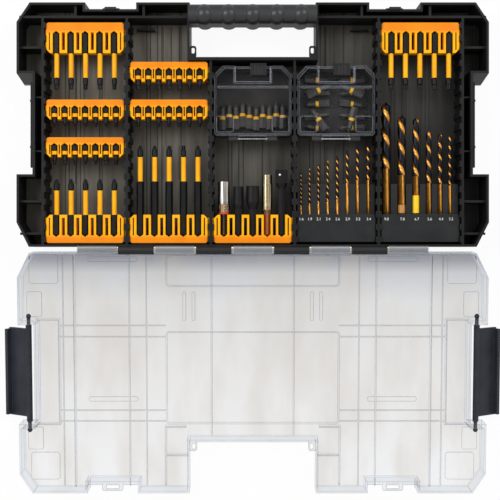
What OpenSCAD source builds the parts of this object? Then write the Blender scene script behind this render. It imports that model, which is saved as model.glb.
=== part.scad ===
/* [Case shells] */
// Width of the case across its two latched sides
case_w = 449; // [448:0.5:454]
// Distance from the hinge axis to the front walls
reach = 235.3; // [235:0.5:240]
// Height of the tray from the table to the parting line
tray_h = 38; // [38:0.5:42]
// Depth of the clear lid
lid_h = 22; // [21:0.5:26]
// Thickness of the tray's outer walls
wall = 2.2; // [2:0.1:2.4]
// Thickness of the tray's floor
floor_t = 2.4; // [2:0.1:2.8]
// Thickness of the lid's walls and panel
lid_t = 1.9; // [1.6:0.1:2.2]
// Distance from the hinge axis to the rear wall of either shell
rear_gap = 3; // [2.8:0.1:3.2]
// Gap between the two rims when the case is shut
rim_gap = 0.3; // [0.2:0.05:0.5]
// Length of the cut corners beside the hinge, along the side
rear_cut_y = 23.3; // [20:0.5:25]
// Length of the cut corners beside the hinge, along the rear
rear_cut_x = 11.7; // [9:0.5:13]
// Length of the cut corners at the front, along the side
front_cut_y = 18.6; // [15:0.5:20]
// Length of the cut corners at the front, along the front wall
front_cut_x = 12.4; // [9:0.5:14]

/* [Side and front recesses] */
// Near end of the side recess that the latch sits in, from the hinge axis
recess_y0 = 72; // [71:0.5:73]
// Far end of the side recess that the latch sits in, from the hinge axis
recess_y1 = 168; // [167:0.5:169]
// Depth of the side recesses
recess_d = 15.2; // [14.8:0.1:15.6]
// Near side of the front recess, from the middle of the case
snap_x0 = 110.8; // [110:0.2:112]
// Far side of the front recess, from the middle of the case
snap_x1 = 159.4; // [158:0.2:161]
// Depth of the front recess in the tray
tray_snap_d = 6.4; // [6:0.1:7]
// Depth of the front recess in the lid
lid_snap_d = 9.6; // [9:0.1:10]
// Width of the lid's slotted locating tab
snap_tab_w = 20; // [18:0.5:22]
// Length of the slot in that tab
snap_slot_w = 12; // [10:0.5:14]
// Width of the slot in that tab
snap_slot_t = 3.8; // [3.4:0.1:4.2]
// Clearance round the tongue that the slot takes
tongue_gap = 0.6; // [0.4:0.1:0.8]

/* [Handle] */
// Half width of the finger opening
hand_x = 60; // [58:0.5:61]
// Near side of the finger opening, from the front walls
hand_y0 = 51.9; // [51.3:0.1:53.3]
// Thickness of the grip, front to back
grip_t = 18.4; // [17:0.1:20]
// Distance of the grip's outer face behind the front walls
grip_in = 2.2; // [1:0.1:3]
// Height of the underside of the grip
grip_z0 = 14; // [12:0.5:16]
// Height of the top of the grip
grip_z1 = 46; // [43:0.5:49]
// Rounding of the grip's edges
grip_r = 8; // [4.5:0.5:8.5]
// Radius of the finger pads
pad_r = 10; // [9:0.1:11]
// How far the finger pads stand out over the grip
pad_out = 3; // [2:0.1:3.4]
// Number of finger pads on the grip
pads = 5; // [3:1:5]
// Distance between finger pads
pad_pitch = 23; // [20:0.5:23]
// Clearance between the lid and the grip that stands up through its notch
notch_gap = 1.2; // [0.8:0.1:2]

/* [Compartments] */
// Distance between the dividers
column_pitch = 80; // [79:0.5:80]
// Number of columns
columns = 5; // [5]
// Thickness of the dividers
divider_t = 2.2; // [2:0.1:2.4]
// Height of the dividers' tops under the rim
divider_drop = 2; // [1:0.5:4]
// Distance between the slots in the dividers
tooth_pitch = 12; // [12]
// Width of the teeth between those slots
tooth_w = 5.6; // [5:0.1:5.8]
// How far the teeth stand out from the divider
tooth_d = 1.6; // [1.4:0.1:1.8]
// First slot's middle, from the hinge axis
first_slot = 4.05; // [4:0.05:4.5]
// Far face of the inner front wall, from the front walls
front_rib_y = 12.3; // [11.3:0.1:13.3]
// Clearance of a bar or index between the teeth, each side
seat_gap = 0.35; // [0.3:0.05:0.5]
// Clearance under whatever stands on the tray's floor
floor_gap = 0.1; // [0.05:0.05:0.3]

/* [Hinge] */
// Diameter of the hinge rod
rod_d = 3; // [2.6:0.1:3.2]
// Radial clearance of the rod in the knuckles
rod_gap = 0.05; // [0.03:0.01:0.08]
// Outer diameter of the knuckles
knuckle_d = 8.2; // [7.8:0.1:8.4]
// Distance between the middles of the lid's knuckles
knuckle_pitch = 74; // [72:0.5:75]
// Number of knuckles on the lid
knuckles = 5; // [3:2:5]
// Width of each of the lid's knuckles
lid_knuckle_w = 37; // [34:0.5:38]
// Width of each of the tray's knuckles
tray_knuckle_w = 33.5; // [30:0.5:34]
// Clearance round a knuckle in the other shell
knuckle_gap = 0.35; // [0.3:0.05:0.5]

/* [Latches] */
// Height of the latch barrel above the parting line when the case is shut
latch_up = 10; // [9:0.5:11]
// Distance of the latch barrel from the case's side
latch_x = 8.5; // [8:0.1:9]
// Diameter of the latch barrel
barrel_d = 5.8; // [5.4:0.1:6]
// Diameter of the latch's stub axles
stub_d = 3.6; // [3:0.1:4]
// Radial clearance of the stub axles in the lid's lugs
stub_gap = 0.06; // [0.04:0.01:0.1]
// Thickness of the lid's lugs
lug_t = 4.6; // [4:0.2:5]
// Length of the latch plate along the side of the case
latch_len = 86; // [82:1:88]
// Length of the latch plate from its barrel to its free edge
latch_drop = 25.4; // [25:0.1:25.6]
// Thickness of the latch plate
latch_t = 2.5; // [2.2:0.1:2.8]
// Clearance between the hook and the tray's catch lip
hook_gap = 0.4; // [0.3:0.05:0.6]
// How far the latch hangs below level when it is open
latch_droop = 30; // [28:1:31]

/* [Bit bars] */
// Height of the bars' tops above the table
bar_top = 34; // [33.5:0.5:35]
// Thickness of the bars' slotted slab
bar_t = 11; // [10:0.5:12]
// Size of the cut corners at a bar's open edge
bar_cut = 3.5; // [1:0.5:4]
// Front-to-back depth of a bar for insert bits
short_bar = 18.8; // [18:0.2:19.4]
// Front-to-back depth of a bar for long bits
tall_bar = 29.1; // [28.5:0.2:30]
// Front-to-back depth of the bars beside the hinge
low_bar = 27; // [26.6:0.2:27.4]
// Slots in a bar for insert bits
short_slots = 7; // [5:1:7]
// Distance between slots in a bar for insert bits
short_pitch = 9.8; // [9.6:0.1:9.8]
// Slots in a bar for long bits
tall_slots = 5; // [3:1:5]
// Distance between slots in a bar for long bits
tall_pitch = 13.8; // [13.2:0.1:14]
// Size of the bits' hexagon shanks across their flats
hex_af = 6.35; // [6.2:0.05:6.4]
// Clearance between a shank and its slot, each side
slot_gap = 0.12; // [0.1:0.02:0.2]
// Length of the slots' pointed back ends
slot_point = 2.4; // [2.2:0.1:2.6]
// Width of the tabs that drop between the teeth
tab_w = 5.8; // [5.4:0.1:5.9]
// Thickness of the colour sleeves on the bits
sleeve_t = 0.6; // [0.4:0.1:0.8]
// Diameter of the bits' round necks
neck_d = 3.4; // [3:0.1:3.6]

/* [Drills] */
// Number of small drills
small_drills = 8; // [8]
// Number of large drills
large_drills = 6; // [6]
// Front-to-back length of a drill index
index_len = 55.4; // [54:0.2:56]
// Front-to-back length of an index's raised block
index_block = 26.4; // [24:0.2:28]

/* [Small boxes] */
// Width of a small box
box_w = 73.6; // [72:0.2:74]
// Front-to-back length of a small box
box_l = 66; // [64:0.5:67]
// Height of a small box's dark base
box_h = 24; // [22:0.5:25]
// Height of a small box's clear lid
box_lid_h = 6; // [6:0.5:8]
// Wall thickness of a small box
box_t = 1.6; // [1.4:0.1:1.8]
// Rear face of a small box, from the hinge axis
box_y = 109.8; // [109.5:0.1:110.2]
// Gap between a small box's lid and base
box_gap = 0.25; // [0.2:0.05:0.4]

/* [Hidden] */
$fn = 48;
e = 0.01;
hw = case_w / 2;
outer_x = columns / 2 * column_pitch;
rim = tray_h - rim_gap / 2;
lid_z0 = tray_h - lid_h;
lid_tip = asin((tray_h - lid_h) / reach);
hand_near = reach - hand_y0;
rib_y = reach - front_rib_y;
notch_x = hand_x + notch_gap;
notch_y = hand_near + 1.8;
cell_y1 = rib_y - wall;
divider_top = tray_h - divider_drop;
bar_w = column_pitch - divider_t - 2 * (tooth_d + seat_gap);
tab_l = tooth_d + seat_gap - 0.3;
foot_z = floor_t + floor_gap;
hex_d = hex_af / cos(30);
bit_z = bar_top - hex_d / 2 - 0.3;
slot_w = hex_af + 2 * slot_gap;
slot_z = bit_z - hex_d / 2 - 0.15;
grip_y0 = reach - grip_in - grip_t;
barrel_x = hw - latch_x;
latch_y = (recess_y0 + recess_y1) / 2;
latch_z = tray_h + latch_up;
hook_z = latch_z - latch_drop;
box_z = foot_z;
box_x = [0, column_pitch];

run_w = 1.2;
run_h = 0.8;
run_gap = 2.2;

// ---- shared shapes ----

// Box between two opposite corners
module block(a, b) {
  translate(a) cube(b - a);
}

// The shape and its mirror image across the middle of the case
module pair() {
  children();
  mirror([1, 0, 0]) children();
}

// Flat shape with round corners, from a low corner and a size
module round_rect(at, size, r) {
  translate([at[0] + r, at[1]]) square([size[0] - 2 * r, size[1]]);
  translate([at[0], at[1] + r]) square([size[0], size[1] - 2 * r]);
  for (x = [r, size[0] - r], y = [r, size[1] - r])
    translate([at[0] + x, at[1] + y]) circle(r);
}

// Rounded pad between two heights
module pad(at, size, r, z0, z1) {
  translate([0, 0, z0]) linear_extrude(z1 - z0) round_rect(at, size, r);
}

// Cylinder along X, middle at the given place
module rod_x(at, d, w) {
  translate(at) rotate([0, 90, 0]) cylinder(d = d, h = w, center = true);
}

// Cylinder along Y from y0 to y1
module rod_y(x, z, d, y0, y1, sides = 48) {
  translate([x, y0, z]) rotate([-90, 0, 0]) cylinder(d = d, h = y1 - y0, $fn = sides);
}

// Cone along Y
module cone_y(x, z, d0, d1, y0, y1) {
  translate([x, y0, z]) rotate([-90, 0, 0]) cylinder(d1 = d0, d2 = d1, h = y1 - y0);
}

// Hexagon bar along Y with its flats to the sides
module hex_y(x, z, af, y0, y1) {
  translate([x, y0, z]) rotate([-90, 0, 0])
    rotate([0, 0, 30]) cylinder(d = af / cos(30), h = y1 - y0, $fn = 6);
}

// Right half of a shell's outline, inset by i, with its front recess and handle notch
function half_outline(i, snap_d, nx, ny) =
  let (rl = norm([rear_cut_x, rear_cut_y]), fl = norm([front_cut_x, front_cut_y]))
  [
    [hw - rear_cut_x - i * (rl - rear_cut_x) / rear_cut_y, rear_gap + i],
    [hw - i, rear_gap + rear_cut_y + i * (rl - rear_cut_y) / rear_cut_x],
    [hw - i, recess_y0 - i],
    [hw - recess_d - i, recess_y0 - i],
    [hw - recess_d - i, recess_y1 + i],
    [hw - i, recess_y1 + i],
    [hw - i, reach - front_cut_y - i * (fl - front_cut_y) / front_cut_x],
    [hw - front_cut_x - i * (fl - front_cut_x) / front_cut_y, reach - i],
    [snap_x1 + i, reach - i],
    [snap_x1 + i, reach - snap_d - i],
    [snap_x0 - i, reach - snap_d - i],
    [snap_x0 - i, reach - i],
    [nx + i, reach - i],
    [nx + i, ny - i]
  ];

function mirrored(points) = [for (k = [len(points) - 1 : -1 : 0]) [-points[k][0], points[k][1]]];

function outline(i, snap_d, nx, ny) =
  let (half = half_outline(i, snap_d, nx, ny)) concat(half, mirrored(half));

// Place a shape made in the shut-down flat frame on the tipped lid
module on_lid() {
  translate([0, 0, tray_h]) rotate([lid_tip, 0, 0]) translate([0, 0, -tray_h])
    mirror([0, 1, 0]) children();
}

// ---- tray ----

// Divider between two columns, with teeth on the sides named
module divider(x, y1, left, right) {
  h = divider_t / 2;
  count = floor((y1 - first_slot) / tooth_pitch);
  rights = [for (k = [0 : count - 1])
    let (y = first_slot + (k + 0.5) * tooth_pitch, d = h + tooth_d)
    each [[h, y - tooth_w / 2], [d, y - tooth_w / 2], [d, y + tooth_w / 2], [h, y + tooth_w / 2]]];
  lefts = [for (k = [count - 1 : -1 : 0])
    let (y = first_slot + (k + 0.5) * tooth_pitch, d = h + tooth_d)
    each [[-h, y + tooth_w / 2], [-d, y + tooth_w / 2], [-d, y - tooth_w / 2], [-h, y - tooth_w / 2]]];
  translate([x, 0, floor_t - e]) linear_extrude(divider_top - floor_t + e)
    polygon(concat([[h, rear_gap + e]], right ? rights : [], [[h, y1], [-h, y1]],
      left ? lefts : [], [[-h, rear_gap + e]]));
}

module tray_ribs() {
  // inner wall along the front
  block([hand_x + e, cell_y1, floor_t - e], [hw - wall, rib_y, divider_top]);
  // cross walls in the front channel
  for (x = [103, 168])
    block([x, rib_y - e, floor_t - e], [x + divider_t, reach - wall, divider_top - 2]);
  // ribs across the side pockets
  for (y = [14.5, 45.3, reach - 42.9])
    block([outer_x, y, floor_t - e], [hw - wall + e, y + divider_t, divider_top - 4]);
  // ribs behind the recess wall
  for (y = [93.6, 144.9])
    block([outer_x, y, floor_t - e], [hw - recess_d - wall + e, y + 1.4, divider_top - 2]);
  // raised runs along the floor, clear of what stands on it
  for (x = [-12, 5, 13])
    block([2 * column_pitch + x, index_y1 + run_gap, floor_t - e],
      [2 * column_pitch + x + run_w, cell_y1 - run_gap, floor_t + run_h]);
  for (x = [-8, 0, 8], y = [[index_y1 + 3 * run_gap, box_hinge_y - 2 * run_gap],
      [box_y + box_l + 2 * run_gap, cell_y1 - run_gap]])
    block([column_pitch + x, y[0], floor_t - e], [column_pitch + x + run_w, y[1], floor_t + run_h]);
  // ledge under the inner front wall
  block([96, cell_y1 - 7, floor_t - e], [113, cell_y1 - 5.6, 12]);
}

// Rounded grip with its finger pads, which stands up through the lid's notch when the case is shut
module grip() {
  rotate([90, 0, 90]) translate([0, 0, -hand_x - 0.8]) linear_extrude(2 * hand_x + 1.6)
    round_rect([grip_y0, grip_z0], [grip_t, grip_z1 - grip_z0], grip_r);
  for (k = [0 : pads - 1])
    translate([(k - (pads - 1) / 2) * pad_pitch, grip_y0 + pad_r - pad_out / 2, 0]) {
      translate([0, 0, grip_z1 + pad_out - pad_r]) sphere(r = pad_r);
      translate([0, 0, grip_z0 + grip_r / 2])
        cylinder(r = pad_r, h = grip_z1 + pad_out - pad_r - grip_z0 - grip_r / 2);
    }
}

// Lip that the latch hooks under, along the recess
module catch_lip() {
  z = hook_z + 3 + hook_gap;
  block([hw - recess_d - e, latch_y - latch_len / 2 + 2, z],
    [hw - recess_d + 3.7, latch_y + latch_len / 2 - 2, z + 3]);
  for (y = [-1, 1])
    block([hw - recess_d - e, latch_y + y * 22 - 1, z + 3 - e],
      [hw - recess_d + 2.4, latch_y + y * 22 + 1, rim]);
}

// Upright tongue on the front recess, which the lid's slot drops over
module snap_tongue() {
  x = (snap_x0 + snap_x1) / 2;
  w = snap_slot_w / 2 - tongue_gap;
  y = reach - lid_snap_d + 3.5;
  d = snap_slot_t / 2 - tongue_gap;
  block([x - 8, reach - tray_snap_d - e, 30], [x + 8, y + d, rim - 3.4]);
  block([x - w, y - d, rim - 3.5], [x + w, y + d, tray_h + 2.6]);
}

// Slotted eyelet in the corner of the hand opening, for a cable tie, from a plate's corner
module eyelet(x1, y0, z0) {
  x0 = hand_x - 6.4;
  y1 = hand_near + 10.6;
  difference() {
    pad([x0, y0], [x1 - x0, y1 - y0], 2.2, z0, z0 + 2.4);
    pad([hand_x - 4.9, hand_near + 3.4], [3.3, 5.6], 1.5, z0 - 1, z0 + 4);
  }
}

// Knuckles of one shell at the given middles
module knuckle_row(middles, w) {
  for (x = middles) {
    rod_x([x, 0, tray_h], knuckle_d, w);
    block([x - w / 2, 0, tray_h - knuckle_d / 2], [x + w / 2, rear_gap + 1, rim]);
  }
}

lid_middles = [for (k = [0 : knuckles - 1]) (k - (knuckles - 1) / 2) * knuckle_pitch];
tray_middles = [for (k = [0 : knuckles - 2]) (k - (knuckles - 2) / 2) * knuckle_pitch];

module base_tray() color("#26272a") {
  hole = rod_d + 2 * rod_gap;
  difference() {
    union() {
      difference() {
        linear_extrude(rim) polygon(outline(0, tray_snap_d, hand_x, hand_near));
        translate([0, 0, floor_t]) linear_extrude(tray_h)
          polygon(outline(wall, tray_snap_d, hand_x, hand_near - 0.6));
      }
      pair() {
        divider(2.5 * column_pitch, rib_y - e, true, false);
        divider(1.5 * column_pitch, rib_y - e, true, true);
        divider(0.5 * column_pitch, hand_near - 1, true, true);
        tray_ribs();
        catch_lip();
        snap_tongue();
        eyelet(hand_x + 0.2, hand_near - 0.6, rim - 2.4);
        // low corner of the side recess's far end
        rotate([90, 0, 90]) translate([0, 0, hw - recess_d]) linear_extrude(recess_d)
          polygon([[recess_y1 - 6, 0], [recess_y1 + 1, 0], [recess_y1 + 1, rim], [recess_y1, rim]]);
      }
      grip();
      knuckle_row(tray_middles, tray_knuckle_w);
    }
    rod_x([0, 0, tray_h], hole, case_w);
    for (x = lid_middles) {
      rod_x([x, 0, tray_h], knuckle_d + 2 * knuckle_gap, lid_knuckle_w + 2 * knuckle_gap);
      block([x - lid_knuckle_w / 2 - knuckle_gap, -6, tray_h - 0.4],
        [x + lid_knuckle_w / 2 + knuckle_gap, rear_gap + 0.8, tray_h + 1]);
    }
  }
}

module hinge_rod() color("#b9a56c") {
  rod_x([0, 0, tray_h], rod_d, (knuckles - 1) * knuckle_pitch + lid_knuckle_w - 1);
}

// ---- lid ----

// Raised panels on the inside of the lid: low corner, size and corner radius
function lid_panels() = [
  [[-84.5, 6], [169, 31], 4],
  [[-84.5, 81], [169, 91], 3],
];

function side_panels() = [
  [[hw - 35.5, 6], [28, 28], 3],
  [[hw - 19.5, 42], [14.5, 24], 1.5],
  [[hw - 19.5, reach - 60.3], [14.5, 22], 1.5],
  [[hw - 35.5, reach - 35.3], [28, 27], 3],
  [[112, 8], [48, 4.5], 2],
  [[112, 145], [48, 4.5], 2],
  [[56, 42], [3, 28], 1.4],
  [[65, 42], [3, 28], 1.4],
];

module lid_panel(p, z0, z1, i = 0) {
  pad(p[0] + [i, i], p[1] - [2 * i, 2 * i], p[2] - i, z0, z1);
}

module lid_ribs() {
  z = lid_z0 + lid_t;
  // long ribs over the dividers
  for (x = [0.5, 1.5])
    block([x * column_pitch - 0.6, rear_gap + e, z - e],
      [x * column_pitch + 0.6, x < 1 ? notch_y : reach - wall, z + 1.4]);
  block([hw - 52.1, rear_gap + e, z - e], [hw - 50.7, reach - wall, z + 5]);
  for (x = [hw - 40.5, 103])
    block([x, rear_gap + e, z - e], [x + 0.9, reach - wall, z + 0.9]);
  // cross ribs either side of the latch bay
  for (y = [74.5, 85.5, 158, 168.6])
    block([84.5, y, z - e], [hw - 36.5, y + 0.9, z + 0.9]);
  // walls of the latch bay
  block([hw - recess_d - 22, recess_y0 - 4, z - e], [hw - recess_d - 20.6, recess_y1 + 4, z + 5]);
  for (y = [recess_y0 - 4, recess_y1 + 2.6])
    block([hw - recess_d - 22, y, z - e], [hw - recess_d + 1, y + 1.4, z + 5]);
  // stepped boxes beside the handle notch
  block([notch_x + 4, notch_y - 12, z - e], [85.5, notch_y - 10.6, z + 6]);
  block([84.1, notch_y - 12, z - e], [85.5, reach - 4, z + 6]);
  block([notch_x + 1, notch_y + 16, z - e], [85.5, notch_y + 17.4, z + 6]);
}

// Slotted tab across the lid's front recess, made in the rim plane
module snap_tab() {
  x = (snap_x0 + snap_x1) / 2;
  y = reach - lid_snap_d;
  z = tray_h - rim_gap / 2 - 2;
  block([snap_x0 - 1, y - 1, z], [snap_x1 + 1, y + 1.4, z + 2]);
  difference() {
    pad([x - snap_tab_w / 2, y + 0.4], [snap_tab_w, 6.8], 1.6, z, z + 2);
    block([x - snap_slot_w / 2, y + 3.5 - snap_slot_t / 2, z - 1],
      [x + snap_slot_w / 2, y + 3.5 + snap_slot_t / 2, z + 3]);
  }
}

// Lug that carries one end of a latch
module latch_lug(y) {
  block([hw - recess_d - e, y, lid_z0 + 1], [hw - 1, y + lug_t, tray_h - rim_gap / 2]);
}

module lid() color("#dfe7ee", 0.35) {
  rim_z = tray_h - rim_gap / 2;
  on_lid() difference() {
    union() {
      difference() {
        translate([0, 0, lid_z0]) linear_extrude(rim_z - lid_z0)
          polygon(outline(0, lid_snap_d, notch_x, notch_y));
        translate([0, 0, lid_z0 + lid_t]) linear_extrude(lid_h)
          polygon(outline(lid_t, lid_snap_d, notch_x, notch_y));
      }
      for (p = lid_panels()) lid_panel(p, lid_z0 + 1, lid_z0 + lid_t + 0.9);
      pair() {
        for (p = side_panels()) lid_panel(p, lid_z0 + 1, lid_z0 + lid_t + 0.9);
        lid_ribs();
        snap_tab();
        latch_lug(recess_y0 - lug_t);
        latch_lug(recess_y1);
        eyelet(notch_x + 0.2, notch_y - 0.6, rim_z - 2.4);
      }
      knuckle_row(lid_middles, lid_knuckle_w);
    }
    for (p = lid_panels()) lid_panel(p, lid_z0 - 1, lid_z0 + 0.8, 1.2);
    rod_x([0, 0, tray_h], rod_d + 2 * rod_gap, case_w);
    for (x = tray_middles) {
      rod_x([x, 0, tray_h], knuckle_d + 2 * knuckle_gap, tray_knuckle_w + 2 * knuckle_gap);
      block([x - tray_knuckle_w / 2 - knuckle_gap, -6, tray_h - 0.4],
        [x + tray_knuckle_w / 2 + knuckle_gap, rear_gap + 0.8, tray_h + 1]);
    }
    // bores for the latches' stub axles
    pair() rod_y(barrel_x, tray_h - latch_up, stub_d + 2 * stub_gap,
      recess_y0 - lug_t - 1, recess_y1 + lug_t + 1);
  }
}

// ---- latches ----

// Latch in its shut place beside the tray, right-hand side
module latch_shut() {
  y0 = recess_y0 + 1;
  y1 = recess_y1 - 1;
  half = latch_len / 2;
  x1 = barrel_x + barrel_d / 2;
  rod_y(barrel_x, latch_z, barrel_d, y0, y1);
  rod_y(barrel_x, latch_z, stub_d, recess_y0 - lug_t - 1.6, recess_y1 + lug_t + 1.6);
  for (y = [recess_y0 - lug_t - 2.8, recess_y1 + lug_t + 2.8])
    translate([barrel_x, y, latch_z]) sphere(d = stub_d + 1.2);
  // plate, its thick middle and its side rims
  block([x1 - latch_t, latch_y - half, hook_z], [x1, latch_y + half, latch_z]);
  block([x1 - e, latch_y - 22, hook_z + 3], [x1 + 0.9, latch_y + 22, latch_z - 5]);
  for (k = [-1, 1])
    block([x1 - e, latch_y + k * (half - 1) - 1, hook_z + 1],
      [x1 + 0.6, latch_y + k * (half - 1) + 1, latch_z - 1]);
  // finger ribs along the free edge
  for (k = [-4 : 4])
    block([x1 + 0.9 - e, latch_y + k * 4.4 - 0.8, hook_z + 4],
      [x1 + 1.5, latch_y + k * 4.4 + 0.8, hook_z + 12]);
  // hook bead
  block([hw - recess_d + 1, latch_y - half + 1, hook_z], [x1 - latch_t + e, latch_y + half - 1, hook_z + 3]);
  // nubs on the free edge
  for (k = [-1, 1])
    block([x1 - latch_t, latch_y + k * 20 - 3, hook_z - 1.4], [x1 + 0.5, latch_y + k * 20 + 3, hook_z + e]);
}

// The latch on the open lid, swung out and hanging
module latch_open() {
  translate([0, 0, tray_h]) rotate([lid_tip, 0, 0]) translate([0, 0, -tray_h])
    translate([barrel_x, 0, tray_h - latch_up]) rotate([0, 90 + latch_droop, 0])
    translate([-barrel_x, 0, -latch_z])
    translate([0, 0, 2 * latch_z]) mirror([0, 0, 1]) mirror([0, 1, 0]) latch_shut();
}

module latch_left() color("#1b1b1e") mirror([1, 0, 0]) latch_open();
module latch_right() color("#1b1b1e") latch_open();

// ---- bit bars ----

function slot_x(k, n, pitch) = (k - (n - 1) / 2) * pitch;

// Outline of a bar from above
module bar_outline(half, depth) {
  polygon([[bar_cut - half, 0], [half - bar_cut, 0], [half, bar_cut], [half, depth - 1.6],
    [half - 1.6, depth], [1.6 - half, depth], [-half, depth - 1.6], [-half, bar_cut]]);
}

// Bar whose slots open towards -Y, with its open edge at y = 0
module bar(depth, n, pitch, slot_l, window_w, tabs) {
  half = bar_w / 2;
  difference() {
    union() {
      translate([0, 0, bar_top - bar_t]) linear_extrude(bar_t) bar_outline(half, depth);
      for (s = [-1, 1])
        block([s * (half - 1.1) - 1.1, bar_cut, foot_z],
          [s * (half - 1.1) + 1.1, depth - 1.6, bar_top - bar_t + e]);
      for (y = tabs, s = [-1, 1])
        block([s * (half + tab_l / 2) - tab_l / 2 - e, y - tab_w / 2, bar_top - bar_t - 6],
          [s * (half + tab_l / 2) + tab_l / 2 + e, y + tab_w / 2, bar_top - 2.5]);
    }
    for (k = [0 : n - 1])
      translate([slot_x(k, n, pitch), 0, slot_z]) linear_extrude(bar_top)
        polygon([[-slot_w / 2, -1], [slot_w / 2, -1], [slot_w / 2, slot_l - slot_point],
          [0, slot_l], [-slot_w / 2, slot_l - slot_point]]);
    for (k = [0 : n - 2])
      translate([slot_x(k + 0.5, n, pitch), 0, bar_top - bar_t - 1])
        block([-window_w / 2, 3, 0], [window_w / 2, slot_l - 1.5, bar_t + 2]);
    for (s = [-1, 1])
      translate([s * (slot_x(n - 0.5, n, pitch) - 0.6), 0, bar_top - bar_t - 1])
        block([-0.6, 3, 0], [0.6, slot_l - 1.5, bar_t + 2]);
  }
}

// Place of each bar: column, distance from the hinge axis, and whether its slots open to the front
module at_bar(col, y, flip) {
  translate([col * column_pitch, y, 0]) mirror([0, flip ? 1 : 0, 0]) children();
}

last_tooth = floor((rib_y - first_slot) / tooth_pitch);
short_y = [for (k = [4, 7, 10]) first_slot + (last_tooth - k) * tooth_pitch - 11.4];
short_slot_l = 13.5;
tall_slot_l = 21.2;
tall_y = first_slot + (last_tooth - 2) * tooth_pitch - 8.2;
low_y = first_slot + 2 * tooth_pitch + 5.6;

module short_bar_at(col, row)
  at_bar(col, short_y[row], false)
    bar(short_bar, short_slots, short_pitch, short_slot_l, 1.4, [11.4]);

module tall_bar_at(col)
  at_bar(col, tall_y, false)
    bar(tall_bar, tall_slots, tall_pitch, tall_slot_l, 3, [8.2, 8.2 + tooth_pitch]);

module low_bar_at(col)
  at_bar(col, low_y, true)
    bar(low_bar, tall_slots, tall_pitch, tall_slot_l, 3, [5.6, 5.6 + tooth_pitch]);

bar_color = "#f6961d";
module bar_a() color(bar_color) tall_bar_at(-2);
module bar_b() color(bar_color) short_bar_at(-2, 1);
module bar_c() color(bar_color) short_bar_at(-2, 2);
module bar_d() color(bar_color) low_bar_at(-2);
module bar_e() color(bar_color) short_bar_at(-1, 0);
module bar_f() color(bar_color) short_bar_at(-1, 1);
module bar_g() color(bar_color) low_bar_at(-1);
module bar_h() color(bar_color) low_bar_at(0);
module bar_i() color(bar_color) tall_bar_at(2);

// ---- bits ----

// Driving tip from y1 down to y0: 0 cross, 1 square, 2 star, 3 flat blade
module tip(kind, x, z, d, y0, y1) {
  body_y = y0 + (y1 - y0) * 0.45;
  rod_y(x, z, d, body_y - e, y1);
  if (kind == 0)
    cone_y(x, z, 1.2, d, y0, body_y);
  if (kind == 1)
    translate([x, y0, z]) rotate([-90, 0, 0]) rotate([0, 0, 45])
      cylinder(d = d * 0.9, h = body_y - y0, $fn = 4);
  if (kind == 2)
    hex_y(x, z, d * 0.72, y0, body_y);
  if (kind == 3)
    block([x - d / 2 + 0.2, y0, z - 0.6], [x + d / 2 - 0.2, body_y, z + 0.6]);
}

insert_len = 19.8;
insert_hex = 6.7;
ring_l = 3.5;
tail_l = 1.6;
back_gap = slot_point - tail_l;
tail_w = 1.8;

// Tapered back end of a bit, which follows the slot's point
module tail(x, back) {
  translate([x, back - tail_l - e, bit_z]) rotate([-90, 0, 0]) rotate([0, 0, 30])
    cylinder(d1 = hex_d, d2 = tail_w / cos(30), h = tail_l + e, $fn = 6);
}

// Insert bit, its back end in the slot
module insert_bit(kind, x, d) {
  back = short_slot_l - back_gap;
  tail(x, back);
  hex_y(x, bit_z, hex_af, back - insert_hex, back - tail_l);
  rod_y(x, bit_z, neck_d, back - insert_hex - ring_l, back - insert_hex + e);
  cone_y(x, bit_z, d, neck_d, back - insert_hex - ring_l - 1, back - insert_hex - ring_l + e);
  tip(kind, x, bit_z, d, back - insert_len, back - insert_hex - ring_l - 1 + e);
}

module insert_ring(x) {
  back = short_slot_l - back_gap - insert_hex;
  difference() {
    rod_y(x, bit_z, hex_af - 0.4, back - ring_l + 0.1, back - 0.1);
    rod_y(x, bit_z, neck_d + 0.1, back - ring_l - 1, back + 1);
  }
}

function tip_d(k, s) = 3.6 + 1.1 * ((k * 3 + s) % 3);
function tip_kind(k, s) = (k + s * 2 + floor(k / 2)) % 4;

module insert_bits(col, row, s)
  at_bar(col, short_y[row], false)
    for (k = [0 : short_slots - 1])
      insert_bit(tip_kind(k, s), slot_x(k, short_slots, short_pitch), tip_d(k, s));

module insert_rings(col, row)
  at_bar(col, short_y[row], false)
    for (k = [0 : short_slots - 1])
      insert_ring(slot_x(k, short_slots, short_pitch));

// Long bit: hexagon shank, thin neck under a colour sleeve, thick tip
module long_bit(kind, x, total, shank, sleeve) {
  back = tall_slot_l - back_gap;
  tail(x, back);
  hex_y(x, bit_z, hex_af, back - shank, back - tail_l);
  rod_y(x, bit_z, neck_d, back - shank - sleeve, back - shank + e);
  cone_y(x, bit_z, 5.8, neck_d, back - shank - sleeve - 2, back - shank - sleeve + e);
  tip(kind, x, bit_z, 5.8, back - total, back - shank - sleeve - 2 + e);
}

module long_sleeve(x, shank, sleeve) {
  back = tall_slot_l - back_gap - shank;
  difference() {
    rod_y(x, bit_z, neck_d + 0.1 + 2 * sleeve_t, back - sleeve + 0.15, back - 0.15);
    rod_y(x, bit_z, neck_d + 0.1, back - sleeve - 1, back + 1);
  }
}

long_total = 54.6;
long_shank = 20.2;
long_sleeve_l = 23.5;
extra_total = 86.6;
extra_shank = 52.2;

// Row of long bits, whose tips take the kinds named in turn
module long_bits(kinds, total, shank)
  for (k = [0 : tall_slots - 1])
    long_bit(kinds[k % len(kinds)], slot_x(k, tall_slots, tall_pitch), total, shank, long_sleeve_l);

module long_sleeves(shank)
  for (k = [0 : tall_slots - 1])
    long_sleeve(slot_x(k, tall_slots, tall_pitch), shank, long_sleeve_l);

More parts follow.
